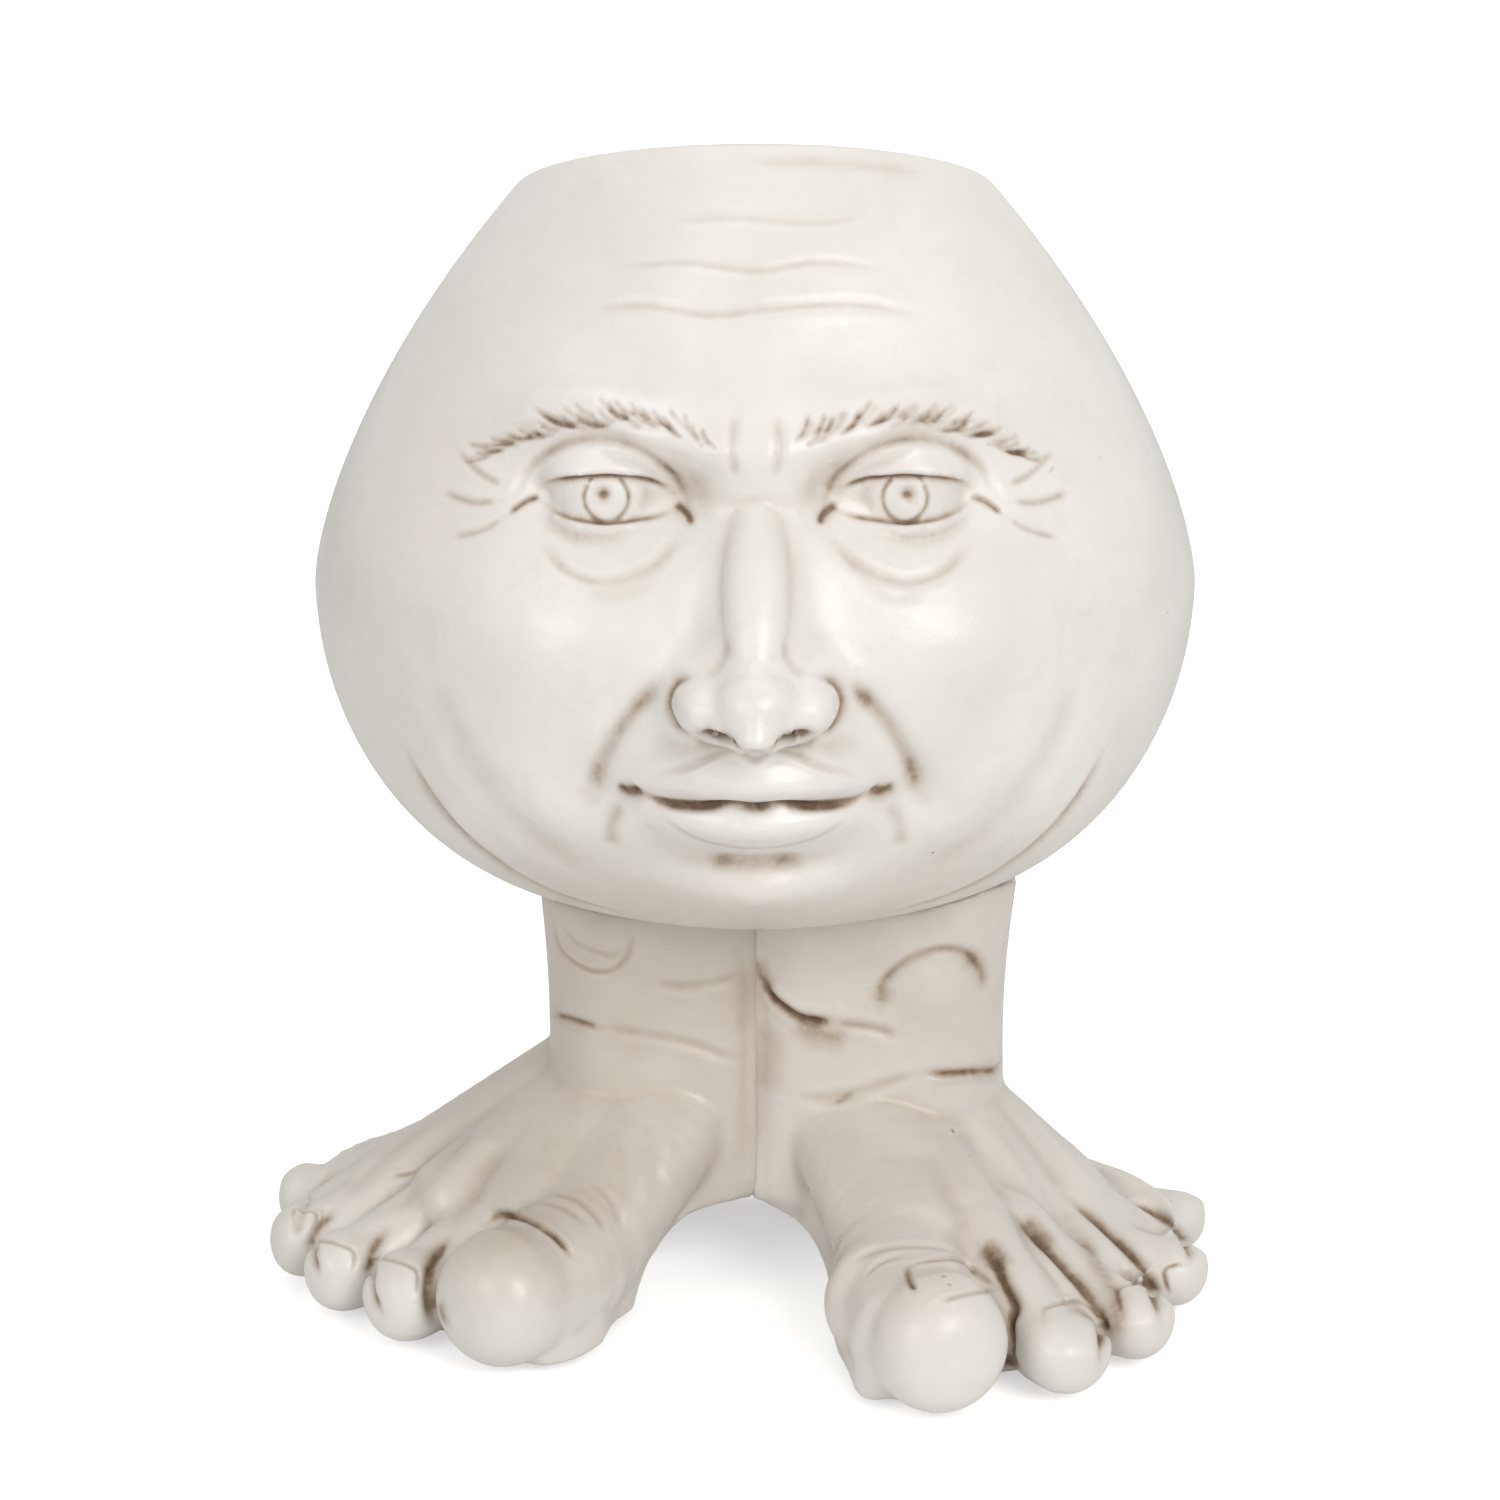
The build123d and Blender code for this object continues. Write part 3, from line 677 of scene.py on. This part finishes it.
left_foot_pixels = {
    "seam": [(752, 950), (754, 1000), (752, 1060), (751, 1120), (750, 1180)],
    "stain beside the seam": [(768, 1020), (764, 1060), (758, 1096)],
    "deep fold": [(757, 981), (764, 994), (776, 1006), (798, 1019), (830, 1023)],
    "end of the deep fold": [(830, 1024), (862, 1028), (894, 1036)],
    "stain under the deep fold": [(786, 1022), (812, 1034), (846, 1040)],
    "stain above the deep fold": [(748, 958), (756, 976), (768, 992)],
    "ankle bone": [(930, 992)],
    "crease over the ankle bone": [
        (874, 1012), (878, 983), (906, 958), (940, 949), (966, 957), (981, 984),
    ],
    "stain of the ankle bone": [(956, 952), (974, 968), (979, 988)],
    "stain of the ankle bone's start": [(876, 1004), (880, 984)],
    "ankle crease": [(918, 1074), (940, 1074), (966, 1072), (990, 1070), (998, 1056)],
    "ankle crease towards the seam": [
        (916, 1074), (888, 1082), (848, 1094), (811, 1099), (786, 1097),
    ],
    "edge of the ankle crease": [(996, 1052), (1004, 1068), (1014, 1084)],
    "small line": [(828, 1104), (840, 1098), (850, 1092)],
    "big toe nail side": [(901, 1264), (903, 1280), (911, 1291)],
    "big toe nail": [(902, 1265), (926, 1260), (952, 1260), (974, 1276), (996, 1290)],
    "big toe nail end": [(934, 1301), (960, 1294), (994, 1290)],
    "wrinkle over the big toe": [(846, 1262), (866, 1252), (894, 1246), (926, 1246), (952, 1252)],
    "second wrinkle over the big toe": [(858, 1276), (876, 1262), (900, 1254)],
    "gap beside the big toe": [
        (966, 1240), (988, 1258), (1000, 1284), (1009, 1304),
        (1003, 1324), (1004, 1352), (997, 1380),
    ],
    "second toe gap": [
        (1006, 1210), (1030, 1235), (1056, 1262), (1081, 1292), (1097, 1324), (1096, 1370),
    ],
    "third toe gap": [(1064, 1197), (1098, 1226), (1130, 1258), (1148, 1290), (1158, 1328)],
    "fourth toe gap": [(1126, 1200), (1150, 1212), (1170, 1228), (1183, 1247), (1185, 1264)],
    "second toe nail": [
        (1038, 1322), (1039, 1309), (1060, 1303), (1080, 1303), (1090, 1314), (1096, 1328),
    ],
    "third toe nail": [(1118, 1316), (1112, 1291), (1126, 1285), (1141, 1285), (1148, 1303)],
    "fourth toe nail": [(1164, 1296), (1159, 1272), (1168, 1265), (1179, 1264)],
    "first valley": [(966, 1240), (940, 1196), (906, 1140)],
    "second valley": [(1006, 1210), (980, 1166), (944, 1116)],
    "third valley": [(1064, 1197), (1030, 1148), (986, 1094)],
    "fourth valley": [(1126, 1200), (1084, 1154), (1036, 1100)],
    "first sinew": [(990, 1222), (960, 1180), (926, 1128)],
    "second sinew": [(1036, 1202), (1004, 1156), (966, 1104)],
    "third sinew": [(1096, 1196), (1058, 1150), (1012, 1098)],
    "stain of the first gap": [(974, 1244), (988, 1254), (998, 1270)],
    "stain of the second gap": [(1016, 1216), (1030, 1230), (1050, 1248)],
    "stain of the third gap": [(1066, 1222), (1090, 1262), (1110, 1300), (1112, 1350)],
    "stain under the toes": [(1004, 1368), (1012, 1356)],
    # The stroke along the underside of the arch paints shade in wash colour: a dark line where the
    # arch lies in shadow
    "painted shade along the arch edge": [(752, 1199), (780, 1206), (806, 1218)],
    "pit": [(949, 1129)],
    "second pit": [(938, 1276)],
    "third pit": [(950, 1272)],
    "fourth pit": [(944, 1284)],
}

# How each kind of line is cut: width, depth, wash, spread, lip and step in the order of stroke()
right_foot_tools = {
    "skin fold over the big toe": (0.95, 1.0, 0.72, 1.7, 0.3, 0.35),
    "wrinkle behind the big toe": (1.1, 0.5, 0.2, 1.8, 0.25),
    "second wrinkle behind the big toe": (1.1, 0.45, 0.18, 1.8, 0.22),
    "tiny wrinkle by the toe": (0.9, 0.35, 0.14, 1.8, 0.18),
    "gap beside the big toe": (1.7, 2.3, 0.62, 1.6),
    "second toe gap": (1.5, 1.9, 0.5, 1.6),
    "third toe gap": (1.4, 1.6, 0.46, 1.6),
    "fourth toe gap": (1.3, 1.2, 0.22, 1.5),
    "second toe nail": (0.6, 0.45, 0.42, 1.6, 0.16),
    "third toe nail": (0.55, 0.42, 0.4, 1.6, 0.16),
    "fourth toe nail": (0.55, 0.4, 0.34, 1.6, 0.14),
    "knuckle line": (0.6, 0.4, 0.5, 1.9, 0.12),
    "first valley": (4.2, 1.0, 0.08, 1.0),
    "second valley": (3.8, 0.95, 0.08, 1.0),
    "third valley": (3.4, 0.85, 0.06, 1.0),
    "fourth valley": (3.2, 0.6, 0.05, 1.0),
    "first sinew": (3.4, -0.8),
    "second sinew": (3.0, -0.7),
    "ankle crease": (1.0, 0.8, 0.62, 2.2, 0.3),
    "ankle crease towards the seam": (1.3, 0.5, 0.14, 1.7, 0.25),
    "ankle bone": (8.0, -1.9),
    "crease under the ankle bone": (0.9, 0.55, 0.26, 1.8, 0.25),
    "inner crease of the ankle bone": (0.9, 0.4, 0.2, 1.8, 0.15),
    "ankle fold": (1.3, 0.6, 0.14, 1.7, 0.3),
    "seam": (2.6, 0.6, 0.12, 1.3),
    "stain beside the seam": (2.6, 0.0, 0.16, 1.5),
    # Painted shade under the arch, in wash colour
    "painted shade along the arch edge": (1.6, 0.0, 0.55, 1.3),
    "stain between the toes": (2.0, 0.0, 0.5, 1.4),
    "wrinkle of the instep": (2.2, 0.35, 0.05, 1.0, 0.15),
    "second wrinkle of the instep": (2.2, 0.3, 0.05, 1.0, 0.12),
}
left_foot_tools = {
    "seam": (2.6, 0.6, 0.14, 1.3),
    "stain beside the seam": (3.2, 0.0, 0.26, 1.4),
    "deep fold": (1.3, 1.7, 0.9, 1.7, 0.4, 0.3),
    "end of the deep fold": (1.3, 0.7, 0.3, 1.9, 0.25),
    "stain under the deep fold": (3.0, 0.0, 0.4, 1.2),
    "stain above the deep fold": (2.6, 0.3, 0.42, 1.4),
    "ankle bone": (10.0, -2.2),
    "crease over the ankle bone": (1.1, 0.8, 0.42, 1.8, 0.2, -0.2),
    "stain of the ankle bone": (1.8, 0.0, 0.5, 1.3),
    "stain of the ankle bone's start": (1.8, 0.0, 0.42, 1.3),
    "ankle crease": (1.0, 0.85, 0.72, 2.4, 0.3),
    "ankle crease towards the seam": (1.3, 0.45, 0.14, 1.6, 0.25),
    "edge of the ankle crease": (1.6, 0.4, 0.5, 1.6),
    "small line": (0.7, 0.35, 0.3, 1.6),
    "big toe nail side": (0.85, 0.8, 0.66, 1.6, 0.3),
    "big toe nail": (0.8, 0.55, 0.36, 1.8, 0.28),
    "big toe nail end": (0.7, 0.35, 0.32, 1.6, 0.22),
    "wrinkle over the big toe": (1.2, 0.5, 0.16, 1.7, 0.25),
    "second wrinkle over the big toe": (1.0, 0.4, 0.14, 1.7, 0.2),
    "gap beside the big toe": (1.6, 2.3, 0.85, 1.8),
    "second toe gap": (1.5, 2.1, 0.75, 1.8),
    "third toe gap": (1.4, 1.8, 0.7, 1.8),
    "fourth toe gap": (1.2, 1.4, 0.6, 1.8),
    "second toe nail": (0.65, 0.5, 0.42, 1.6, 0.18),
    "third toe nail": (0.6, 0.5, 0.6, 1.7, 0.18),
    "fourth toe nail": (0.6, 0.48, 0.58, 1.7, 0.16),
    "first valley": (4.2, 0.9, 0.06, 1.0),
    "second valley": (3.8, 0.9, 0.06, 1.0),
    "third valley": (3.6, 0.85, 0.06, 1.0),
    "fourth valley": (3.2, 0.75, 0.05, 1.0),
    "first sinew": (3.2, -0.7),
    "second sinew": (3.0, -0.8),
    "third sinew": (2.8, -0.7),
    "stain of the first gap": (2.6, 0.0, 0.62, 1.3),
    "stain of the second gap": (2.6, 0.0, 0.6, 1.3),
    "stain of the third gap": (2.2, 0.0, 0.46, 1.3),
    "stain under the toes": (2.0, 0.0, 0.7, 1.4),
    # Painted shade under the arch, in wash colour
    "painted shade along the arch edge": (1.6, 0.0, 0.2, 1.3),
    "pit": (0.5, 0.5, 0.9, 1.2),
    "second pit": (0.45, 0.4, 0.9, 1.2),
    "third pit": (0.45, 0.4, 0.9, 1.2),
    "fourth pit": (0.4, 0.4, 0.9, 1.2),
}


# A roll of clay is a row of balls this far apart, each at most this long from middle to end
roll_step = 5
longest_half = 12

# Rolls that carry each toe back into its foot, from the big toe on, then those that slope from the
# ankle to the instep: where each starts and ends, and its half width and half height at both, in
# millimetres from the seam, the footprint's middle and the ground
right_foot_clay = (
    ((-58, -64, 17.5), (-41, -42, 22), (17.2, 17), (17, 17.5)),
    ((-86, -55, 12.5), (-62, -30, 24), (10.6, 10.5), (13, 12)),
    ((-104, -39, 12), (-76, -18, 23), (10, 10), (12, 11)),
    ((-116, -19, 11), (-84, -4, 22), (9.6, 9.6), (12, 11)),
    ((-115, 7, 11), (-84, 12, 22), (10.5, 10), (13, 12)),
    ((-112, -6, 14), (-84, 4, 24), (9, 8.5), (13, 10)),
    ((-22, -4, 53), (-42, -42, 24), (23, 14), (19, 17)),
    ((-34, -4, 52), (-60, -36, 26), (20, 13), (18, 14)),
    ((-38, -2, 51), (-78, -26, 25), (18, 12), (16, 12)),
    ((-47, 4, 50.5), (-98, -6, 19), (14, 11.5), (16, 11)),
)
left_foot_clay = (
    ((40, -90, 17.5), (36, -62, 22), (17.2, 17), (17, 17)),
    ((73, -84, 12.5), (56, -54, 25), (10.6, 10.5), (13, 12)),
    ((91, -67, 12), (68, -40, 25), (10, 10), (12, 11)),
    ((104, -38, 11), (76, -22, 22), (9.6, 9.6), (12, 11)),
    ((107, -8, 11), (80, 0, 20), (10, 9.6), (12, 10)),
    ((26, -2, 47), (39, -58, 25), (22, 14), (18, 16)),
    ((32, -2, 45), (52, -48, 26), (20, 13), (17, 14)),
    ((38, 2, 42), (68, -30, 24), (16, 12), (14, 11)),
)

# How far the left foot's outer side is lowered, and where, from the seam and from the ground
low_side_drop = 7.5 * mm
low_side_across = (58 * mm, 84 * mm)
low_side_heights = (15 * mm, 30 * mm)

# How much of the right foot's inner side is drawn in past a line beside the big toe, from where to
# where it grows behind that toe, and the height where it ends
inner_direction = np.array((0.77, -0.63))
slim_side_share = 0.75
slim_side_start = 3 * mm
slim_side_along = (-64 * mm, -50 * mm)
slim_side_height = 30 * mm


def close_seam(piece, side):
    """Brings the flat face at the seam a little past its middle, so that the bond is filled."""
    points, _ = skin_points(piece)
    outward = side * (points[:, 0] - seam_x)
    softened, filled = 2.2 * mm, 1.0 * mm
    near = outward < softened
    share = np.clip(outward[near] / softened, 0, 1)
    points[near, 0] = seam_x + side * (softened * share - filled * (1 - share) ** 0.5)
    move_skin(piece, points)


def lower_outer_side(piece):
    """Lets the outer side of the left foot slope lower towards the little toe."""
    points, _ = skin_points(piece)
    across = np.interp(points[:, 0] - seam_x, low_side_across, (0, 1))
    upward = np.interp(points[:, 2], low_side_heights, (0, 1))
    points[:, 2] -= low_side_drop * across * across * (3 - 2 * across) * upward
    move_skin(piece, points)


def slim_inner_side(piece):
    """Draws the right foot's low inner side in behind the big toe."""
    points, _ = skin_points(piece)
    inward = points[:, :2] @ inner_direction - seam_x * inner_direction[0]
    behind_toe = np.interp(points[:, 1], slim_side_along, (0, 1))
    low = np.interp(points[:, 2], (0, slim_side_height), (1, 0))
    drawn_in = slim_side_share * np.maximum(inward - slim_side_start, 0) * behind_toe * low
    points[:, :2] -= drawn_in[:, None] * inner_direction
    move_skin(piece, points)


def foot_strokes(pixels, tools):
    """Strokes of one foot."""
    return [stroke(pixels[name], *tool) for name, tool in tools.items()]


def ream_drain_hole(piece):
    """Keeps the drain hole wide enough for its plug after the clay has been softened."""
    points, _ = skin_points(piece)
    offset = points[:, :2] - np.array([seam_x, drain_y])
    radius = np.linalg.norm(offset, axis=1)
    edge = 0.4 * mm
    height = points[:, 2]
    inside = (radius < drain_radius) & (height > pot_bottom - edge) & (height < pot_floor + edge)
    points[inside, :2] += offset[inside] * (drain_radius / radius[inside] - 1)[:, None]
    move_skin(piece, points)


def new_material(name):
    """New material, its node tree and its shader."""
    material = bpy.data.materials.new(name)
    material.use_nodes = True
    tree = material.node_tree
    return material, tree, tree.nodes["Principled BSDF"]


def noise(tree, place, scale, detail=3.0, roughness=0.5, distortion=0.0):
    """Noise on object coordinates. Returns its value."""
    node = tree.nodes.new("ShaderNodeTexNoise")
    node.inputs["Scale"].default_value = scale
    node.inputs["Detail"].default_value = detail
    node.inputs["Roughness"].default_value = roughness
    node.inputs["Distortion"].default_value = distortion
    tree.links.new(place, node.inputs["Vector"])
    return node.outputs["Fac"]


def levels(tree, value, low, high, to_low=0.0, to_high=1.0, smooth=False):
    """Maps a value from one range to another and keeps it inside."""
    node = tree.nodes.new("ShaderNodeMapRange")
    node.interpolation_type = "SMOOTHSTEP" if smooth else "LINEAR"
    node.inputs["From Min"].default_value = low
    node.inputs["From Max"].default_value = high
    node.inputs["To Min"].default_value = to_low
    node.inputs["To Max"].default_value = to_high
    tree.links.new(value, node.inputs["Value"])
    return node.outputs["Result"]


def arithmetic(tree, operation, first, second):
    """One sum. Either side may be a number."""
    node = tree.nodes.new("ShaderNodeMath")
    node.operation = operation
    for socket, value in zip(node.inputs, (first, second)):
        if isinstance(value, (int, float)):
            socket.default_value = value
        else:
            tree.links.new(value, socket)
    return node.outputs["Value"]


def blend_colours(tree, factor, first, second):
    """Mixes two colours by a factor. Either may be a colour or a socket."""
    node = tree.nodes.new("ShaderNodeMix")
    node.data_type = "RGBA"
    tree.links.new(factor, node.inputs["Factor"])
    for name, value in (("A", first), ("B", second)):
        socket = [entry for entry in node.inputs if entry.name == name and entry.type == "RGBA"][0]
        if isinstance(value, tuple):
            socket.default_value = (*value, 1)
        else:
            tree.links.new(value, socket)
    return [entry for entry in node.outputs if entry.type == "RGBA"][0]


def object_place(tree):
    """Object coordinates."""
    return tree.nodes.new("ShaderNodeTexCoord").outputs["Object"]


def bumpy(tree, shader, height, distance, strength):
    """Gives the shader a bump."""
    node = tree.nodes.new("ShaderNodeBump")
    node.inputs["Distance"].default_value = distance
    node.inputs["Strength"].default_value = strength
    tree.links.new(height, node.inputs["Height"])
    tree.links.new(node.outputs["Normal"], shader.inputs["Normal"])


# Tints of the resin, then the thin brown coat, which also paints shade low on the pot and under the
# head, then the wash, thin and gathered, and the dirt in a pit
warm_tint = (0.775, 0.715, 0.655)
brushed_tint = (0.70, 0.655, 0.60)
film_and_shade_brown = (0.50, 0.43, 0.35)
thin_wash = (0.37, 0.275, 0.185)
gathered_wash = (0.115, 0.062, 0.03)
pit_brown = (0.16, 0.11, 0.07)


def antique_resin(name, white, grey, film_and_shade_low, film_and_shade_high, film_and_shade_strength):
    """Painted cast resin: warm white with grey clouds, brown wash in the creases, a satin glaze.

    A thin brown coat, partly real and partly painted shade low on the pot and on the feet under the
    head, grows in strength from the first height to the second.
    """
    material, tree, shader = new_material(name)
    place = object_place(tree)
    axes = tree.nodes.new("ShaderNodeSeparateXYZ")
    tree.links.new(place, axes.inputs["Vector"])
    attribute = tree.nodes.new("ShaderNodeAttribute")
    attribute.attribute_name = "wash"
    wash = attribute.outputs["Fac"]

    clouds = levels(tree, noise(tree, place, 17, 4, 0.55, 0.4), 0.36, 0.66, smooth=True)
    warm = levels(tree, noise(tree, place, 9, 3), 0.5, 0.72, 0, 0.55, smooth=True)
    brush = levels(tree, noise(tree, place, 75, 5, 0.65, 1.2), 0.45, 0.75, 0, 0.35, smooth=True)
    colour = blend_colours(tree, clouds, white, grey)
    colour = blend_colours(tree, warm, colour, warm_tint)
    colour = blend_colours(tree, brush, colour, brushed_tint)
    # Brown coat and painted shade: darker from the first height to the second, where the pot's low
    # side and the feet under the head lie in shade
    film_and_shade = levels(tree, axes.outputs["Z"], film_and_shade_low, film_and_shade_high, 0, film_and_shade_strength, smooth=True)
    uneven = levels(tree, noise(tree, place, 26, 5, 0.6, 0.6), 0.3, 0.7, 0.7, 1.25)
    film_and_shade = arithmetic(tree, "MULTIPLY", film_and_shade, uneven)
    colour = blend_colours(tree, film_and_shade, colour, film_and_shade_brown)

    patchy = levels(tree, noise(tree, place, 95, 5, 0.6, 0.8), 0.3, 0.7, 0.72, 1.2)
    streaks = levels(tree, noise(tree, place, 480, 2, 0.5), 0.3, 0.7, 0.9, 1.1)
    amount = arithmetic(tree, "MULTIPLY", arithmetic(tree, "MULTIPLY", wash, patchy), streaks)
    tan = levels(tree, amount, 0.02, 0.6, 0, 0.9)
    brown = levels(tree, amount, 0.34, 0.95, 0, 0.95, smooth=True)
    colour = blend_colours(tree, tan, colour, thin_wash)
    colour = blend_colours(tree, brown, colour, gathered_wash)

    pits = tree.nodes.new("ShaderNodeTexVoronoi")
    pits.inputs["Scale"].default_value = 62
    pits.inputs["Randomness"].default_value = 1
    tree.links.new(place, pits.inputs["Vector"])
    near_pit = levels(tree, pits.outputs["Distance"], 0.022, 0.034, 1, 0)
    rare = levels(tree, noise(tree, place, 31, 0), 0.56, 0.6)
    pit = arithmetic(tree, "MULTIPLY", near_pit, rare)
    colour = blend_colours(tree, pit, colour, pit_brown)
    tree.links.new(colour, shader.inputs["Base Color"])

    glaze = levels(tree, noise(tree, place, 48, 4), 0.3, 0.7, 0.27, 0.4)
    dull = levels(tree, amount, 0.1, 0.8, 0, 0.3)
    tree.links.new(arithmetic(tree, "ADD", glaze, dull), shader.inputs["Roughness"])
    shader.inputs["Specular IOR Level"].default_value = 0.5

    fine = noise(tree, place, 950, 2)
    medium = noise(tree, place, 190, 4, 0.6)
    slow = noise(tree, place, 52, 3)
    height = arithmetic(tree, "ADD", arithmetic(tree, "MULTIPLY", fine, 0.16), medium)
    height = arithmetic(tree, "ADD", height, arithmetic(tree, "MULTIPLY", slow, 1.6))
    height = arithmetic(tree, "SUBTRACT", height, arithmetic(tree, "MULTIPLY", pit, 1.2))
    bumpy(tree, shader, height, 0.5 * mm, 0.5)
    return material


def drawn_steel():
    """Bright drawn bar with fine lines along it and a little dull grey."""
    material, tree, shader = new_material("drawn_steel")
    place = object_place(tree)
    stretch = tree.nodes.new("ShaderNodeMapping")
    stretch.inputs["Scale"].default_value = (1, 1, 0.04)
    tree.links.new(place, stretch.inputs["Vector"])
    lines = noise(tree, stretch.outputs["Vector"], 2400, 3)
    dull = levels(tree, noise(tree, place, 160, 4), 0.4, 0.7)
    colour = blend_colours(tree, dull, (0.56, 0.56, 0.57), (0.38, 0.375, 0.37))
    tree.links.new(colour, shader.inputs["Base Color"])
    tree.links.new(levels(tree, lines, 0.3, 0.7, 0.24, 0.46), shader.inputs["Roughness"])
    shader.inputs["Metallic"].default_value = 1
    bumpy(tree, shader, lines, 0.05 * mm, 0.3)
    return material


def moulded_rubber(name, dark, pale, grain):
    """Matte moulded rubber with a fine grain and a trace of bloom."""
    material, tree, shader = new_material(name)
    place = object_place(tree)
    bloom = levels(tree, noise(tree, place, 110, 5, 0.6), 0.48, 0.78, smooth=True)
    tree.links.new(blend_colours(tree, bloom, dark, pale), shader.inputs["Base Color"])
    fine = noise(tree, place, grain, 3, 0.6)
    tree.links.new(levels(tree, fine, 0.3, 0.7, 0.52, 0.74), shader.inputs["Roughness"])
    bumpy(tree, shader, fine, 0.12 * mm, 0.5)
    return material


def paint_solid(node, material):
    """Gives a solid that is kept its finish."""
    mesh = frame["nodes"][node].data
    mesh.materials.clear()
    mesh.materials.append(material)


def add_floor():
    """Wide white floor that shows pure white to the camera away from the shadow."""
    bpy.ops.object.select_all(action="DESELECT")
    bpy.ops.mesh.primitive_plane_add(size=40)
    floor = bpy.context.object
    floor.name = "floor"
    material, tree, shader = new_material("white_floor")
    shader.inputs["Base Color"].default_value = (0.94, 0.94, 0.94, 1)
    shader.inputs["Roughness"].default_value = 0.9
    shader.inputs["Specular IOR Level"].default_value = 0.1
    shader.inputs["Emission Color"].default_value = (1, 1, 1, 1)
    distance = tree.nodes.new("ShaderNodeVectorMath")
    distance.operation = "LENGTH"
    tree.links.new(object_place(tree), distance.inputs[0])
    lift = levels(tree, distance.outputs["Value"], *floor_lift_range, floor_lift, 1, smooth=True)
    rays = tree.nodes.new("ShaderNodeLightPath")
    tree.links.new(
        arithmetic(tree, "MULTIPLY", rays.outputs["Is Camera Ray"], lift),
        shader.inputs["Emission Strength"],
    )
    floor.data.materials.append(material)


def light_studio():
    """World that is white where seen directly, mirrored or through glass, and lights plainly."""
    world = bpy.data.worlds.new("studio")
    bpy.context.scene.world = world
    world.use_nodes = True
    tree = world.node_tree
    rays = tree.nodes.new("ShaderNodeLightPath")
    seen = rays.outputs["Is Camera Ray"]
    for kind in ("Is Transmission Ray", "Is Glossy Ray"):
        seen = arithmetic(tree, "MAXIMUM", seen, rays.outputs[kind])
    background = tree.nodes["Background"]
    background.inputs["Color"].default_value = (1, 1, 1, 1)
    tree.links.new(levels(tree, seen, 0, 1, world_light, 1), background.inputs["Strength"])


def add_soft_light(name, place, aim, size, watts):
    """Square soft box that faces a point."""
    bpy.ops.object.light_add(type="AREA", location=place)
    light = bpy.context.object
    light.name = name
    light.data.size = size
    light.data.energy = watts
    light.rotation_mode = "QUATERNION"
    light.rotation_quaternion = (Vector(aim) - Vector(place)).to_track_quat("-Z", "Y")


# Light, how much the floor is lifted to white where the camera sees it beside the planter, and
# over which distances from the middle that grows to full white
world_light = 0.42
floor_lift = 0.5
floor_lift_range = (0.17, 0.5)

camera = add_camera()
white, grey = (0.80, 0.77, 0.725), (0.735, 0.70, 0.65)
# The right foot gets a darker, greyer copy of the resin and a stronger coat that starts lower:
# partly painted shade on the foot turned from the key light, partly a greyer tone
greyer_and_shaded_white, greyer_and_shaded_grey = (0.765, 0.735, 0.69), (0.69, 0.655, 0.605)
# Each brown coat below is also painted shade: low on the pot, and on the feet from the ground up to
# under the head
resin = antique_resin("antique_white_resin", white, grey, 150 * mm, 112 * mm, 0.25)
left_foot_resin = antique_resin("antique_resin_left", white, grey, 14 * mm, 56 * mm, 0.42)
right_foot_shaded_resin = antique_resin(
    "antique_resin_right_shaded", greyer_and_shaded_white, greyer_and_shaded_grey, 12 * mm, 40 * mm, 0.6
)

head = clay_copy("head_pot", "sculpted_head")
press_together(head, face_clay())
fuse(head, head_softening)
ream_drain_hole(head)
face_marks = brow_strokes() + eye_strokes() + nose_and_mouth_strokes() + brow_and_cheek_strokes()
head_strokes = lay_strokes(head, face_marks, lay_on_face)
refine(head, head_strokes)
lighten(head, head_strokes, work(head, head_strokes, head_hollow_wash))
dress(head, "head_pot", resin)

for name, side, clay, pixels, tools, finish in (
    ("right", -1, right_foot_clay, right_foot_pixels, right_foot_tools, right_foot_shaded_resin),
    ("left", 1, left_foot_clay, left_foot_pixels, left_foot_tools, left_foot_resin),
):
    foot = clay_copy(f"{name}_leg_and_foot", f"sculpted_{name}_foot")
    press_together(foot, [ball for roll in clay for ball in clay_roll(*roll)])
    fuse(foot, foot_softening)
    close_seam(foot, side)
    if name == "left":
        lower_outer_side(foot)
    else:
        slim_inner_side(foot)
    strokes = lay_strokes(foot, foot_strokes(pixels, tools), lay_on_foot)
    refine(foot, strokes)
    lighten(foot, strokes, work(foot, strokes, foot_hollow_wash))
    dress(foot, f"{name}_leg_and_foot", finish)

steel = drawn_steel()
plug_rubber = moulded_rubber(
    "plug_rubber_moulded", (0.045, 0.045, 0.047), (0.1, 0.098, 0.094), 1800
)
pad_rubber = moulded_rubber("pad_rubber_moulded", (0.07, 0.07, 0.07), (0.14, 0.137, 0.13), 1300)
for node, finish in (
    ("right_ankle_dowel", steel),
    ("left_ankle_dowel", steel),
    ("drain_plug", plug_rubber),
    ("right_sole_pads", pad_rubber),
    ("left_sole_pads", pad_rubber),
):
    paint_solid(node, finish)

add_floor()
light_studio()
add_soft_light("key_softbox", (0.75, -1.3, 1.05), (0, 0, 0.16), 0.8, 13)
add_soft_light("fill_softbox", (-1.0, -1.2, 0.9), (0, 0, 0.16), 0.7, 5.5)
add_soft_light("top_softbox", (0, 0.2, 1.6), (0, 0, 0.15), 1.0, 5)
bpy.context.scene.view_settings.view_transform = "Standard"
